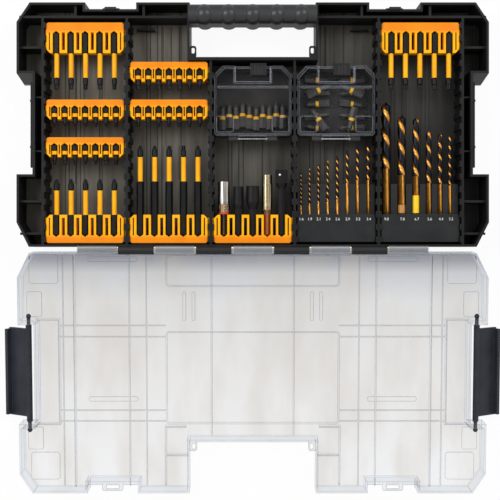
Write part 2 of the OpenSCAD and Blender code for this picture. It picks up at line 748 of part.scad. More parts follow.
bit_color = "#1d1e20";
ring_color = "#f7b21a";
module bits_a() color(bit_color) at_bar(-2, tall_y, false) long_bits([1, 2], long_total, long_shank);
module sleeves_a() color(ring_color) at_bar(-2, tall_y, false) long_sleeves(long_shank);
module bits_b() color(bit_color) insert_bits(-2, 1, 0);
module rings_b() color(ring_color) insert_rings(-2, 1);
module bits_c() color(bit_color) insert_bits(-2, 2, 1);
module rings_c() color(ring_color) insert_rings(-2, 2);
module bits_d() color(bit_color) at_bar(-2, low_y, true) long_bits([0], long_total, long_shank);
module sleeves_d() color(ring_color) at_bar(-2, low_y, true) long_sleeves(long_shank);
module bits_e() color(bit_color) insert_bits(-1, 0, 2);
module rings_e() color(ring_color) insert_rings(-1, 0);
module bits_f() color(bit_color) insert_bits(-1, 1, 3);
module rings_f() color(ring_color) insert_rings(-1, 1);
module bits_g() color(bit_color) at_bar(-1, low_y, true) long_bits([1, 0, 0, 0, 0], extra_total, extra_shank);
module sleeves_g() color(ring_color) at_bar(-1, low_y, true) long_sleeves(extra_shank);
module bits_i() color(bit_color) at_bar(2, tall_y, false) long_bits([3, 2], long_total, long_shank);
module sleeves_i() color(ring_color) at_bar(2, tall_y, false) long_sleeves(long_shank);

// ---- holders and drivers of the middle bar ----

// Hexagon shank in slot k of the middle bar, reaching out to distance y1 from the bar's edge
module h_shank(k, out) {
  back = tall_slot_l - back_gap;
  tail(slot_x(k, tall_slots, tall_pitch), back);
  hex_y(slot_x(k, tall_slots, tall_pitch), bit_z, hex_af, -out, back - tail_l);
}

function h_x(k) = slot_x(k, tall_slots, tall_pitch);

// Hollow end of a holder or driver, hexagonal
module h_socket(k, af, y0, y1) {
  hex_y(h_x(k), bit_z, af, y0, y1);
}

module chrome_holder() color("#c9ccd0") at_bar(0, low_y, true) difference() {
  union() {
    h_shank(0, 3);
    rod_y(h_x(0), bit_z, 11, -31.5, -2.4);
    rod_y(h_x(0), bit_z, 11.6, -9, -5.5);
  }
  h_socket(0, hex_af + 0.2, -32, -20);
}

module holder_collar() color("#d8402a") at_bar(0, low_y, true) difference() {
  rod_y(h_x(0), bit_z, 9.6, -2.2, -0.6);
  rod_y(h_x(0), bit_z, hex_d + 0.1, -3, 0);
}

module nut_driver_small() color(bit_color) at_bar(0, low_y, true) difference() {
  union() {
    h_shank(1, 6);
    rod_y(h_x(1), bit_z, 9.6, -27, -10);
    cone_y(h_x(1), bit_z, 9.6, 7.6, -10 - e, -5.5);
  }
  h_socket(1, 6.4, -28, -18);
}

module nut_driver_large() color(bit_color) at_bar(0, low_y, true) difference() {
  union() {
    h_shank(2, 6);
    rod_y(h_x(2), bit_z, 12.4, -27.5, -12);
    cone_y(h_x(2), bit_z, 12.4, 8, -12 - e, -5.5);
  }
  h_socket(2, 8.1, -28.5, -18);
}

module magnetic_holder() color("#b3a17a") at_bar(0, low_y, true) difference() {
  union() {
    h_shank(3, 6);
    rod_y(h_x(3), bit_z, 9.6, -38, -4.5);
    rod_y(h_x(3), bit_z, 10.2, -30, -12);
  }
  h_socket(3, hex_af + 0.2, -39, -26);
}

head_w = 11.6;
ball_at = [h_x(4) - 1.8, -38, bit_z + head_w / 2];

module socket_adapter() color(bit_color) at_bar(0, low_y, true) difference() {
  union() {
    h_shank(4, 26);
    block([h_x(4) - head_w / 2, -43, bit_z - head_w / 2], [h_x(4) + head_w / 2, -30, bit_z + head_w / 2]);
    cone_y(h_x(4), bit_z, head_w, 7.4, -30 - e, -25);
  }
  translate(ball_at) sphere(d = 3.2);
}

module adapter_ball() color("#c9ccd0") at_bar(0, low_y, true)
  translate(ball_at) sphere(d = 3);

// ---- drills and their indexes ----

index_y = 7.8;
block_y1 = index_y + index_block;
index_y1 = index_y + index_len;
index_top = 33;
groove_z = 26;
drill_z = 27.5;

// Diameters and reaches of the drills, worked out from their place in the row
function small_d(k) = 1.6 + 0.26 * k;
function small_tip(k) = min(100, 75 + 3.2 * k + 0.17 * k * k);
function small_x(k) = column_pitch - 33.6 + k * (8 + 0.17 * k);
function small_flutes(k) = k < 5 ? 0.55 : 0.38;
function large_d(k) = 9 - 1.15 * k;
function large_tip(k) = k == 0 ? 142 : (k < 3 ? 132 : 121.5) - 2.4 * k;
function large_x(k) = 2 * column_pitch - 32.3 + k * (15.9 - 0.72 * k);
large_flutes = 0.5;
flute_lead = 5.2;
function shank_d(d) = min(d, 0.2 + 0.62 * d + 0.9);

// Twist drill along +Y: plain shank from y0, point at y1, fluted over a share of its length
module drill(x, d, y0, y1, share) {
  flute = (y1 - y0) * share;
  shank = shank_d(d);
  rod_y(x, drill_z, shank, y0, y1 - flute + e);
  translate([x, y1 - flute, drill_z]) rotate([-90, 0, 0])
    linear_extrude(height = flute - d / 2, twist = -360 * flute / (flute_lead * d),
        slices = ceil(flute / d * 1.1), segments = 0)
      polygon([for (a = [0 : 45 : 359]) (d / 2) * (0.7 + 0.3 * pow(cos(a), 2)) * [cos(a), sin(a)]]);
  cone_y(x, drill_z, d * 0.86, 0.2, y1 - d * 0.5 - e, y1);
}

module small_drill(k) drill(small_x(k), small_d(k), index_y + 6, small_tip(k), small_flutes(k));
module large_drill(k) drill(large_x(k), large_d(k), index_y + 6, large_tip(k), large_flutes);

// Index: raised block with a bore for each shank, and a grooved rest in front
module drill_index(col) {
  half = bar_w / 2;
  x = col * column_pitch;
  difference() {
    union() {
      pad([x - half, index_y], [bar_w, index_block], 1.6, foot_z, index_top);
      pad([x - half, block_y1 - 4], [bar_w, index_len - index_block + 4], 1.6, groove_z - 9, groove_z + 1.6);
      for (s = [-1, 1])
        block([x + s * (half - 1.1) - 1.1, block_y1 - 2, foot_z],
          [x + s * (half - 1.1) + 1.1, index_y1 - 1.6, groove_z - 9 + e]);
      for (y = [16.05, 28.05], s = [-1, 1])
        block([x + s * (half + tab_l / 2) - tab_l / 2 - e, y - tab_w / 2, 18],
          [x + s * (half + tab_l / 2) + tab_l / 2 + e, y + tab_w / 2, 30]);
    }
    children(0);
  }
}

module index_bores(n, big) {
  for (k = [0 : n - 1]) {
    d = big ? large_d(k) : small_d(k);
    x = big ? large_x(k) : small_x(k);
    rod_y(x, drill_z, shank_d(d) + 0.2, index_y + 5.8, block_y1 + 1);
    block([x - d / 2 - 0.3, block_y1 - e, drill_z - d / 2 - 0.3], [x + d / 2 + 0.3, index_y1 + 1, index_top]);
  }
}

module index_small() color("#232427") drill_index(1) index_bores(small_drills, false);
module index_large() color("#232427") drill_index(2) index_bores(large_drills, true);
module drills_small() color("#8c6a2c") for (k = [0 : small_drills - 1]) small_drill(k);
module drills_large() color("#8c6a2c") for (k = [0 : large_drills - 1]) large_drill(k);

// Colour bands on two of the large drills' shanks
module drill_bands() color("#f2c40f")
  for (k = [1, 2]) difference() {
    rod_y(large_x(k), drill_z, shank_d(large_d(k)) + 0.9, block_y1 + 1.2, block_y1 + (k == 2 ? 18 : 9));
    rod_y(large_x(k), drill_z, shank_d(large_d(k)) + 0.1, block_y1, index_y1);
  }

// ---- small boxes ----

box_hinge_y = box_y - 3;
box_split = box_z + box_h;
box_top = box_split + box_lid_h;
box_latch_x = 5.4;
box_latch_w = 15.6;
latch_slide = 10.8;
catch_x0 = box_latch_x - box_latch_w / 2 - latch_slide + 1;
catch_x1 = box_latch_x - box_latch_w / 2 - 1;
rail_d = 2;
rail_y = box_y + box_l - 5;
rail_z = box_top - 2.2;

module box_outline(i) {
  c = 8;
  h = box_w / 2 - i;
  l = box_l - i;
  polygon([[-h, i + 2], [-h + 2, i], [h - 2, i], [h, i + 2],
    [h, l - c - i / 2], [h - c, l], [-h + c, l], [-h, l - c - i / 2]]);
}

module box_base() difference() {
  union() {
    difference() {
      translate([0, box_y, box_z]) linear_extrude(box_h - box_gap / 2) box_outline(0);
      translate([0, box_y, box_z + box_t]) linear_extrude(box_h) box_outline(box_t);
    }
    // catch lip on the front wall, under the latch's locked place
    block([catch_x0, box_y + box_l - e, box_split - 4], [catch_x1, box_y + box_l + 1, box_split - 2.6]);
    // outer hinge knuckles
    for (s = [-1, 1]) {
      rod_x([s * 18.5, box_hinge_y, box_split], 5, 9);
      block([s * 18.5 - 4.5, box_hinge_y, box_split - 2.5], [s * 18.5 + 4.5, box_y + 1, box_split - 0.2]);
    }
  }
  rod_x([0, box_hinge_y, box_split], 1.6, 60);
}

module box_lid() difference() {
  z0 = box_split + box_gap / 2;
  union() {
    difference() {
      translate([0, box_y, z0]) linear_extrude(box_lid_h - box_gap / 2) box_outline(0);
      translate([0, box_y, z0 - 1]) linear_extrude(box_lid_h - box_t + 1) box_outline(box_t);
      block([-17, box_y + box_l - 15, box_top - 4], [17, box_y + box_l + 1, box_top + 1]);
    }
    block([-17, box_y + box_l - 15, box_top - 5.4], [17, box_y + box_l - 1, box_top - 4 + e]);
    for (s = [-1, 1])
      block([s * 17.4 - 0.8, box_y + box_l - 15.6, box_top - 5.4],
        [s * 17.4 + 0.8, box_y + box_l - 0.4, box_top - 1]);
    block([-17, box_y + box_l - 16.2, box_top - 5.4], [17, box_y + box_l - 14.8, box_top - 1]);
    // rail across the recess
    rod_x([0, rail_y, rail_z], rail_d, 34.8);
    // middle hinge knuckle
    rod_x([0, box_hinge_y, box_split], 5, 26);
    block([-13, box_hinge_y, box_split + 0.2], [13, box_y + 1, box_split + 2.5]);
    // raised corner pads and ridge
    for (s = [-1, 1])
      translate([0, box_y, 0]) pad([s * 26.5 - 8, 3], [16, 15], 2, box_top - 0.6, box_top + 0.7);
    translate([0, box_y, 0]) pad([-box_w / 2 + 3, 45], [box_w - 6, 1.6], 0.7, box_top - 0.6, box_top + 0.5);
  }
  rod_x([0, box_hinge_y, box_split], 1.6, 60);
}

// Latch that slides along a rail across the lid's recess, in its unlocked place
module box_latch() {
  x0 = box_latch_x - box_latch_w / 2;
  x1 = box_latch_x + box_latch_w / 2;
  y1 = box_y + box_l + 2.9;
  difference() {
    union() {
      block([x0, rail_y - 3.6, rail_z - 1.6], [x1, y1, rail_z + 1.7]);
      block([x0, y1 - 1.5, box_split - 6.2], [x1, y1, rail_z + 1]);
      block([x0, box_y + box_l + 0.5, box_split - 6.2], [x1, y1 - 1.4, box_split - 4.4]);
      for (k = [-1 : 1])
        block([box_latch_x + k * 3 - 0.7, rail_y - 2, rail_z + 1.7 - e],
          [box_latch_x + k * 3 + 0.7, y1 - 3, rail_z + 2.2]);
    }
    rod_x([0, rail_y, rail_z], rail_d + 0.2, 60);
  }
}

module box_pin() rod_x([0, box_hinge_y, box_split], 1.5, 46);

// Short bit lying at a place and turn in a small box
module loose_bit(at, turn, ring) {
  translate(at) rotate([0, 0, turn]) {
    if (!ring) {
      hex_y(0, 0, hex_af, -12, -1.5);
      rod_y(0, 0, 3.4, -1.6, 1.6);
      rod_y(0, 0, 5, 1.5, 9);
      cone_y(0, 0, 5, 1.4, 9 - e, 12.4);
    }
    if (ring) difference() {
      rod_y(0, 0, 5.8, -1.4, 1.4);
      rod_y(0, 0, 3.5, -3, 3);
    }
  }
}

bits_z = box_z + box_t + hex_d / 2 + 0.1;
bits_gap = 0.2;

// Close row of bits side by side near the hinge
module neat_bits(ring)
  for (k = [0 : 9])
    loose_bit([(k - 4.5) * (hex_af + bits_gap), box_y + 19 + k * 3 % 5 * 0.8, bits_z], 0, ring);

// Two layers of bits lying as they fell
module mixed_bits(ring) {
  for (row = [0 : 4], side = [-1, 1]) {
    k = 2 * row + (side + 1) / 2;
    loose_bit([side * 17, box_y + 9.5 + row * 11.7, bits_z],
      90 + 180 * (k * 5 % 3 % 2) + (k * 7 % 5 - 2) * 4, ring);
  }
  for (k = [0 : 3])
    loose_bit([(k % 2 - 0.5) * 32, box_y + 17 + floor(k / 2) * 28, bits_z + hex_d + bits_gap],
      35 + k * 130, ring);
}

module at_box(n) translate([box_x[n], 0, 0]) children();
module box_base_1() color("#34373b") at_box(0) box_base();
module box_base_2() color("#34373b") at_box(1) box_base();
module box_lid_1() color("#c7ccd2", 0.4) at_box(0) box_lid();
module box_lid_2() color("#c7ccd2", 0.4) at_box(1) box_lid();
module box_latch_1() color("#17181a") at_box(0) box_latch();
module box_latch_2() color("#17181a") at_box(1) box_latch();
module box_pin_1() color("#9a9da1") at_box(0) box_pin();
module box_pin_2() color("#9a9da1") at_box(1) box_pin();
module box_bits_1() color("#6d6f72") at_box(0) neat_bits(false);
module box_rings_1() color(ring_color) at_box(0) neat_bits(true);
module box_bits_2() color("#6d6f72") at_box(1) mixed_bits(false);
module box_rings_2() color(ring_color) at_box(1) mixed_bits(true);

base_tray();
hinge_rod();
lid();
latch_left();
latch_right();
bar_a();
bits_a();
sleeves_a();
bar_b();
bits_b();
rings_b();
bar_c();
bits_c();
rings_c();
bar_d();
bits_d();
sleeves_d();
bar_e();
bits_e();
rings_e();
bar_f();
bits_f();
rings_f();
bar_g();
bits_g();
sleeves_g();
bar_h();
chrome_holder();
holder_collar();
nut_driver_small();
nut_driver_large();
magnetic_holder();
socket_adapter();
adapter_ball();
bar_i();
bits_i();
sleeves_i();
index_small();
drills_small();
index_large();
drills_large();
drill_bands();
box_base_1();
box_lid_1();
box_latch_1();
box_pin_1();
box_bits_1();
box_rings_1();
box_base_2();
box_lid_2();
box_latch_2();
box_pin_2();
box_bits_2();
box_rings_2();
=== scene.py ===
# %% [markdown]
# # A drill bit case, open on a table
# The case lies open: a dark moulded tray full of bits above, its clear lid below. The solids
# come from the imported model. This lesson gives them their finishes, makes again the small
# things that a solid only hints at, such as the bits' driving tips and the twist of the drills,
# and prints the size numbers. Blender counts in metres, so lengths in millimetres are
# multiplied by MM.

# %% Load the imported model
import math

import bmesh
import bpy
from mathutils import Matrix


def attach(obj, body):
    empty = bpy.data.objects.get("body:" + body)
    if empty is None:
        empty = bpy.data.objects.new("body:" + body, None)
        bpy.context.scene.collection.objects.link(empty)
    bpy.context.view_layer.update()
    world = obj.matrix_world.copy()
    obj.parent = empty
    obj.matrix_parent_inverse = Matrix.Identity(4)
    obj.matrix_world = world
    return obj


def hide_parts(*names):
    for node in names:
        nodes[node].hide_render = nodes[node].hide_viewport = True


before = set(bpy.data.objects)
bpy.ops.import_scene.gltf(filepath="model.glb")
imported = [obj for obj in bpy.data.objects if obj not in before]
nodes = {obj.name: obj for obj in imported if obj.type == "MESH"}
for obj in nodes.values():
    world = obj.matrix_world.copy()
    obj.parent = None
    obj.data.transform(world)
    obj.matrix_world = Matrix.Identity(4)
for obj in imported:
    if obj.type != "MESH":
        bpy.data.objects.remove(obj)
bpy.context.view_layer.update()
MM = 0.001

# %% [markdown]
# ## The camera
# The photograph looks straight down from a little over a metre. A long lens keeps the walls
# nearly upright, yet the lid still narrows towards its far edge, because it lies lower there,
# so a camera without perspective would be wrong. The focal length is worked out from the size
# of one pixel at that distance, and the frame is square, so the sensor's width decides it.

# %% Set up the camera
IMAGE_SIDE = 500
FOCAL_PIXELS = 1075.8
SENSOR_WIDTH = 36.0
CAMERA_PLACE = (-2.6 * MM, 0.0, 1060 * MM)


def add_object(name, data):
    """A new object at the origin, linked to the scene."""
    thing = bpy.data.objects.new(name, data)
    bpy.context.scene.collection.objects.link(thing)
    return thing


camera_data = bpy.data.cameras.new("camera")
camera_data.sensor_width = SENSOR_WIDTH
camera_data.lens = FOCAL_PIXELS / IMAGE_SIDE * SENSOR_WIDTH
camera = add_object("camera", camera_data)
camera.location = CAMERA_PLACE
bpy.context.scene.camera = camera
print("lens", round(camera_data.lens, 1), "mm")

# %% [markdown]
# ## Colours
# Colours are written from 0 to 255, as on a screen. Shaders count light, not screen values, so each one is
# turned into linear light first. Picking the light values by hand would work too, but nobody can tell by
# looking at 0.05 how dark a grey it is.

# %% Colour helper
def screen_colour(red, green, blue):
    def linear(value):
        share = value / 255
        return share / 12.92 if share <= 0.04045 else ((share + 0.055) / 1.055) ** 2.4
    return (linear(red), linear(green), linear(blue), 1.0)


print("mid grey", [round(c, 3) for c in screen_colour(128, 128, 128)])

# %% [markdown]
# ## Building blocks for materials
# Every finish here is a small tree of nodes on the same base: a shader, and the place of the
# point being shaded in the object's own coordinates, so a pattern stays on its piece when the
# piece moves. Sums, places and ranges come back in all of them. Each gets one helper, so a
# finish reads like a recipe and not like wiring.

# %% Helpers for numbers
def start_material(name):
    """A material, its tree, its shader and the place of the point being shaded."""
    material = bpy.data.materials.new(name)
    material.use_nodes = True
    tree = material.node_tree
    shader = tree.nodes["Principled BSDF"]
    place = tree.nodes.new("ShaderNodeTexCoord").outputs["Object"]
    return material, tree, shader, place


def feed(tree, socket, value):
    """Links a socket to another one, or sets it to a plain number or colour."""
    if isinstance(value, bpy.types.NodeSocket):
        tree.links.new(value, socket)
    else:
        socket.default_value = value


def add_maths(tree, operation, *values):
    node = tree.nodes.new("ShaderNodeMath")
    node.operation = operation
    for socket, value in zip(node.inputs, values):
        feed(tree, socket, value)
    return node.outputs[0]


def add_split(tree, place):
    """A point's place across the case, along it and above the table."""
    split = tree.nodes.new("ShaderNodeSeparateXYZ")
    tree.links.new(place, split.inputs["Vector"])
    return split.outputs["X"], split.outputs["Y"], split.outputs["Z"]


def add_range(tree, value, low, high, to_low=0.0, to_high=1.0):
    """The value, moved from one range to another and held at its ends."""
    node = tree.nodes.new("ShaderNodeMapRange")
    for label, number in (("From Min", low), ("From Max", high), ("To Min", to_low), ("To Max", to_high)):
        node.inputs[label].default_value = number
    tree.links.new(value, node.inputs["Value"])
    return node.outputs["Result"]


print("number helpers ready")

# %% [markdown]
# ## Noise and colour
# No real surface is one flat colour. Noise gives the small changes, a ramp turns it into
# colours, and a blend lays one colour over another by a mask. A picture could hold all that
# too, but it has to be wrapped round the piece, while noise fills space and needs no wrapping.

# %% Helpers for noise and colour
def add_noise(tree, place, size, detail=3.0, stretch=None):
    """Noise with grains of a size in mm, drawn out where the stretch is below 1."""
    if stretch:
        mapping = tree.nodes.new("ShaderNodeMapping")
        mapping.inputs["Scale"].default_value = stretch
        tree.links.new(place, mapping.inputs["Vector"])
        place = mapping.outputs["Vector"]
    noise = tree.nodes.new("ShaderNodeTexNoise")
    noise.inputs["Scale"].default_value = 1 / (size * MM)
    noise.inputs["Detail"].default_value = detail
    tree.links.new(place, noise.inputs["Vector"])
    return noise.outputs["Fac"]


def add_ramp(tree, factor, stops, interpolation="LINEAR"):
    """A colour for each factor, through stops of (place from 0 to 1, colour)."""
    ramp = tree.nodes.new("ShaderNodeValToRGB")
    ramp.color_ramp.interpolation = interpolation
    elements = ramp.color_ramp.elements
    for index, (at, colour) in enumerate(stops):
        stop = elements[index] if index < 2 else elements.new(at)
        stop.position = at
        stop.color = colour
    tree.links.new(factor, ramp.inputs["Fac"])
    return ramp.outputs["Color"]


def add_two_tone(tree, noise, dark, light):
    """Two screen colours, shared out by noise."""
    return add_ramp(tree, noise, [(0.3, screen_colour(*dark)), (0.7, screen_colour(*light))])


def add_blend(tree, factor, first, second):
    mix = tree.nodes.new("ShaderNodeMix")
    mix.data_type = "RGBA"
    tree.links.new(factor, mix.inputs["Factor"])
    feed(tree, mix.inputs[6], first)
    feed(tree, mix.inputs[7], second)
    return mix.outputs[2]


print("colour helpers ready")

# %% [markdown]
# ## Moulded plastic
# A moulding is never one colour. It has a fine spark-eroded grain, slight clouds where the melt flowed, and
# edges that are a little round. Rounding every edge in the mesh would cost many faces. The Bevel node bends
# the normal near an edge without touching the mesh, and where that bent normal parts from the true one the
# colour is painted a little lighter, as a painted highlight along the edge. The grain is a bump from fine
# noise.

# %% Moulded finish
EDGE_BEGINS, EDGE_FULL = 0.995, 0.86
CLOUDS = 18


def add_edges(tree, radius):
    """The normal bevelled by a radius in mm, and a mask that is 1 where it parts from the true one, for
    painted edge colour.
    """
    bevel = tree.nodes.new("ShaderNodeBevel")
    bevel.samples = 4
    bevel.inputs["Radius"].default_value = radius * MM
    geometry = tree.nodes.new("ShaderNodeNewGeometry")
    dot = tree.nodes.new("ShaderNodeVectorMath")
    dot.operation = "DOT_PRODUCT"
    tree.links.new(bevel.outputs["Normal"], dot.inputs[0])
    tree.links.new(geometry.outputs["Normal"], dot.inputs[1])
    return bevel.outputs["Normal"], add_range(tree, dot.outputs["Value"], EDGE_BEGINS, EDGE_FULL)


def add_bump(tree, shader, height, depth, strength, normal=None):
    """Dents of a depth in mm, on top of the bevelled normal where there is one."""
    bump = tree.nodes.new("ShaderNodeBump")
    bump.inputs["Distance"].default_value = depth * MM
    bump.inputs["Strength"].default_value = strength
    tree.links.new(height, bump.inputs["Height"])
    if normal is not None:
        tree.links.new(normal, bump.inputs["Normal"])
    tree.links.new(bump.outputs["Normal"], shader.inputs["Normal"])


def make_moulded(name, tones, roughness, grain, depth, radius=0.4, shine=0.5):
    """Tones are dark, light and a painted edge highlight. The grain, its depth and the edge's radius are in
    mm.
    """
    material, tree, shader, place = start_material(name)
    dark, light, edge = tones
    clouds = add_two_tone(tree, add_noise(tree, place, CLOUDS), dark, light)
    normal, mask = add_edges(tree, radius)
    # Painted highlight: the edge tone is laid along the edges by the bevel mask.
    tree.links.new(add_blend(tree, mask, clouds, screen_colour(*edge)), shader.inputs["Base Color"])
    fine = add_noise(tree, place, grain, 2.0)
    tree.links.new(add_range(tree, fine, 0.0, 1.0, *roughness), shader.inputs["Roughness"])
    shader.inputs["Specular IOR Level"].default_value = shine
    add_bump(tree, shader, fine, depth, 0.5, normal)
    return material


print("moulded finish ready")

# %% [markdown]
# ## Dark plastics
# The latches are a bluish charcoal with a soft gloss, the index blocks and small boxes are
# plainer, and the boxes' catches are nearly black. They could share one colour, but side by
# side the eye tells them apart. So each is the moulded finish with its own tones, its range of
# roughness, and the size and depth of its grain.

# %% Latches, indexes, boxes and catches
latch_plastic = make_moulded(
    "latch_charcoal", ((34, 37, 43), (46, 49, 57), (96, 98, 106)), (0.34, 0.5), 0.8, 0.08, shine=0.2)
index_plastic = make_moulded(
    "index_black", ((27, 28, 29), (38, 39, 40), (70, 69, 66)), (0.4, 0.55), 0.8, 0.08, shine=0.16)
box_plastic = make_moulded(
    "box_dark", ((46, 45, 46), (62, 60, 58), (84, 82, 80)), (0.3, 0.46), 0.8, 0.06, shine=0.15)
catch_plastic = make_moulded(
    "catch_black", ((12, 12, 13), (22, 22, 24), (84, 84, 88)), (0.26, 0.4), 0.7, 0.05, shine=0.25)
print("dark plastics ready")

# %% [markdown]
# ## The tray's three looks
# The tray is one moulding with three looks. Walls and dividers are nearly black. The floor is coarser and a
# warm grey, with painted shade that darkens it from the handle's side and the left towards the hinge and the
# drills. The grip's pads are smooth, and their lighter, cool grey is a painted sheen. The tray could be cut
# into three pieces, but one material does it: the height above the table decides between the looks, so each
# change falls where the moulding itself changes. The floor's dark lines repeat in every column, so they are
# drawn once on a ramp, and the place across the case is folded to one column's width.

# %% Tray material
COLUMN = 80.0
COLUMN_SHIFT = 10.5
# Heights above the table, in mm
FLOOR_TOP, WALL_FOOT = 3.0, 4.2
PAD_FOOT, PAD_TOP = 39, 46
# Painted shade: the ground darkens with the place across plus the lean times the place along, between these
# ends
SHADE_LEAN = -0.8
LIT_END, SHADED_END = -308, 90
# Lines at shares of a column's width, from its left side
FLOOR_LINES = (0.2, 0.245, 0.33, 0.385, 0.62)
LINE_CORE, LINE_REACH = 0.004, 0.009
CLEAR_OF_LINES = (0.0, 0.0, 0.0, 1.0)
ON_A_LINE = (0.8, 0.8, 0.8, 1.0)


def add_floor_lines(tree, across):
    """A mask of the lines that run along the case, at the same places in every column."""
    column = add_maths(tree, "MULTIPLY_ADD", across, 1 / (COLUMN * MM), COLUMN_SHIFT)
    stops = [(0.0, CLEAR_OF_LINES)]
    for at in FLOOR_LINES:
        stops += [(at - LINE_REACH, CLEAR_OF_LINES), (at - LINE_CORE, ON_A_LINE),
                  (at + LINE_CORE, ON_A_LINE), (at + LINE_REACH, CLEAR_OF_LINES)]
    return add_ramp(tree, add_maths(tree, "FRACT", column), stops)


def add_ground_and_painted_shade(tree, place, across, along):
    """The floor's warm grey, with painted shade that darkens it from one far corner to the other."""
    streaks = add_noise(tree, place, 6, 5.0, (1.0, 0.1, 1.0))
    shade_lean = add_maths(tree, "MULTIPLY_ADD", along, SHADE_LEAN, across)
    # Painted shade: a lit and a shaded copy of the ground's grey, blended by the place across and along the
    # case.
    painted_shade = add_blend(tree, add_range(tree, shade_lean, LIT_END * MM, SHADED_END * MM),
                      add_two_tone(tree, streaks, (96, 93, 85), (128, 124, 114)),
                      add_two_tone(tree, streaks, (30, 30, 29), (46, 45, 43)))
    return add_blend(tree, add_floor_lines(tree, across), painted_shade, screen_colour(22, 22, 21))


def make_tray(name):
    material, tree, shader, place = start_material(name)
    across, along, height = add_split(tree, place)
    walls = add_two_tone(tree, add_noise(tree, place, 20), (13, 13, 14), (23, 23, 23))
    low_down = add_range(tree, height, WALL_FOOT * MM, FLOOR_TOP * MM)
    both = add_blend(tree, low_down, walls, add_ground_and_painted_shade(tree, place, across, along))

    def by_pads(elsewhere, on_pads):
        return add_range(tree, height, PAD_FOOT * MM, PAD_TOP * MM, elsewhere, on_pads)

    # Painted sheen: the pads on top of the grip get a lighter, cooler grey; their roughness and specular
    # level below are real.
    all_three = add_blend(tree, by_pads(0.0, 1.0), both, screen_colour(34, 35, 37))
    normal, mask = add_edges(tree, 0.5)
    # Painted highlight: the tray's edges are painted a lighter grey.
    tree.links.new(add_blend(tree, mask, all_three, screen_colour(54, 54, 56)), shader.inputs["Base Color"])
    tree.links.new(by_pads(0.5, 0.36), shader.inputs["Roughness"])
    tree.links.new(by_pads(0.16, 0.4), shader.inputs["Specular IOR Level"])
    add_bump(tree, shader, add_noise(tree, place, 0.9, 2.0), 0.12, 0.6, normal)
    return material


tray_plastic = make_tray("tray_charcoal")
print("tray finish ready")

# %% [markdown]
# ## Orange bars
# The bars are a softer, bright plastic. The thick flange at the slots' closed ends is orange, and
# the fingers between the slots are yellower, because light comes through their thin walls. Light
# scattered under the surface would show that too, but slowly and too faintly at this size. Where
# the change falls is known for each bar: it is the line on which its slots end. So the finish
# takes the bar's open edge and the slots' length, which is below zero where they open the other
# way, and one recipe serves every bar.

# %% Bar finishes
SHORT_ROWS = (160.65, 124.65, 88.65)
TALL_ROW, LOW_ROW = 187.85, 33.65
SHORT_SLOT, TALL_SLOT = 13.5, 21.2
CHANGE_FROM, CHANGE_TO = -3, 1


def make_bar_finish(name, edge, slot):
    """Orange beyond the end of the slots and yellow up to it, with edge and slot in mm."""
    material, tree, shader, place = start_material(name)
    along = add_split(tree, place)[1]
    clouds = add_noise(tree, place, 14)
    fingers = add_two_tone(tree, clouds, (245, 164, 12), (252, 184, 16))
    flange = add_two_tone(tree, clouds, (234, 128, 12), (242, 142, 16))
    side = math.copysign(1, slot)
    change = add_range(tree, along, (edge + slot + CHANGE_FROM * side) * MM,
                       (edge + slot + CHANGE_TO * side) * MM)
    body = add_blend(tree, change, fingers, flange)
    normal, mask = add_edges(tree, 0.8)
    # Painted highlight: the bars' edges are painted a lighter yellow.
    tree.links.new(add_blend(tree, mask, body, screen_colour(252, 178, 22)), shader.inputs["Base Color"])
    shader.inputs["Roughness"].default_value = 0.42
    shader.inputs["Specular IOR Level"].default_value = 0.14
    add_bump(tree, shader, add_noise(tree, place, 1.1, 2.0), 0.05, 0.5, normal)
    return material


FINISHES = {}
for name, edge, slot, letters in (
        ("bar_tall", TALL_ROW, TALL_SLOT, "ai"), ("bar_low", LOW_ROW, -TALL_SLOT, "dgh"),
        ("bar_short_0", SHORT_ROWS[0], SHORT_SLOT, "e"), ("bar_short_1", SHORT_ROWS[1], SHORT_SLOT, "bf"),
        ("bar_short_2", SHORT_ROWS[2], SHORT_SLOT, "c")):
    finish = make_bar_finish(name, edge, slot)
    FINISHES.update({"bar_" + letter: finish for letter in letters})
print("bars", sorted(FINISHES))

# %% [markdown]
# ## Sleeves, rings and the collar
# The coloured sleeves and rings on the bits and the red collar of a holder are small plain
# mouldings, smooth and a little glossy. The moulded finish from before serves them too, with
# finer grain and smaller edges.

# %% Sleeve, ring and collar finishes
sleeve_plastic = make_moulded(
    "sleeve_yellow", ((240, 160, 10), (250, 182, 16), (252, 196, 40)), (0.34, 0.46), 0.6, 0.03,
    radius=0.3, shine=0.16)
ring_plastic = make_moulded(
    "ring_amber", ((255, 186, 26), (255, 206, 44), (255, 224, 90)), (0.4, 0.5), 0.6, 0.03,
    radius=0.3, shine=0.3)
collar_plastic = make_moulded(
    "collar_red", ((196, 48, 28), (222, 66, 38), (236, 110, 80)), (0.3, 0.42), 0.6, 0.03,
    radius=0.3, shine=0.3)
print("bright plastics ready")

# %% [markdown]
# ## Steel
# Bits are black oxide steel: dark, only partly metallic to the eye, a little streaky along their
# length. Bright parts are plated or plain. They could each have their own tree, but they differ
# only in colours and gloss. So all are one recipe: fine streaks along the piece change its
# colour and how rough it is, which breaks up the reflection as turning marks do.

# %% Metal finishes
def make_metal(name, tones, metallic, roughness, shine=0.5):
    """Tones are dark, light and a painted edge highlight, and roughness is at its least and at its most."""
    material, tree, shader, place = start_material(name)
    dark, light, edge = tones
    streaks = add_noise(tree, place, 1.2, 3.0, (1.0, 0.12, 1.0))
    normal, mask = add_edges(tree, 0.25)
    # Painted highlight: the edge tone is laid along the edges by the bevel mask.
    tree.links.new(add_blend(tree, mask, add_two_tone(tree, streaks, dark, light), screen_colour(*edge)),
                   shader.inputs["Base Color"])
    shader.inputs["Metallic"].default_value = metallic
    shader.inputs["Specular IOR Level"].default_value = shine
    tree.links.new(add_range(tree, streaks, 0.0, 1.0, *roughness), shader.inputs["Roughness"])
    add_bump(tree, shader, streaks, 0.03, 0.4, normal)
    return material


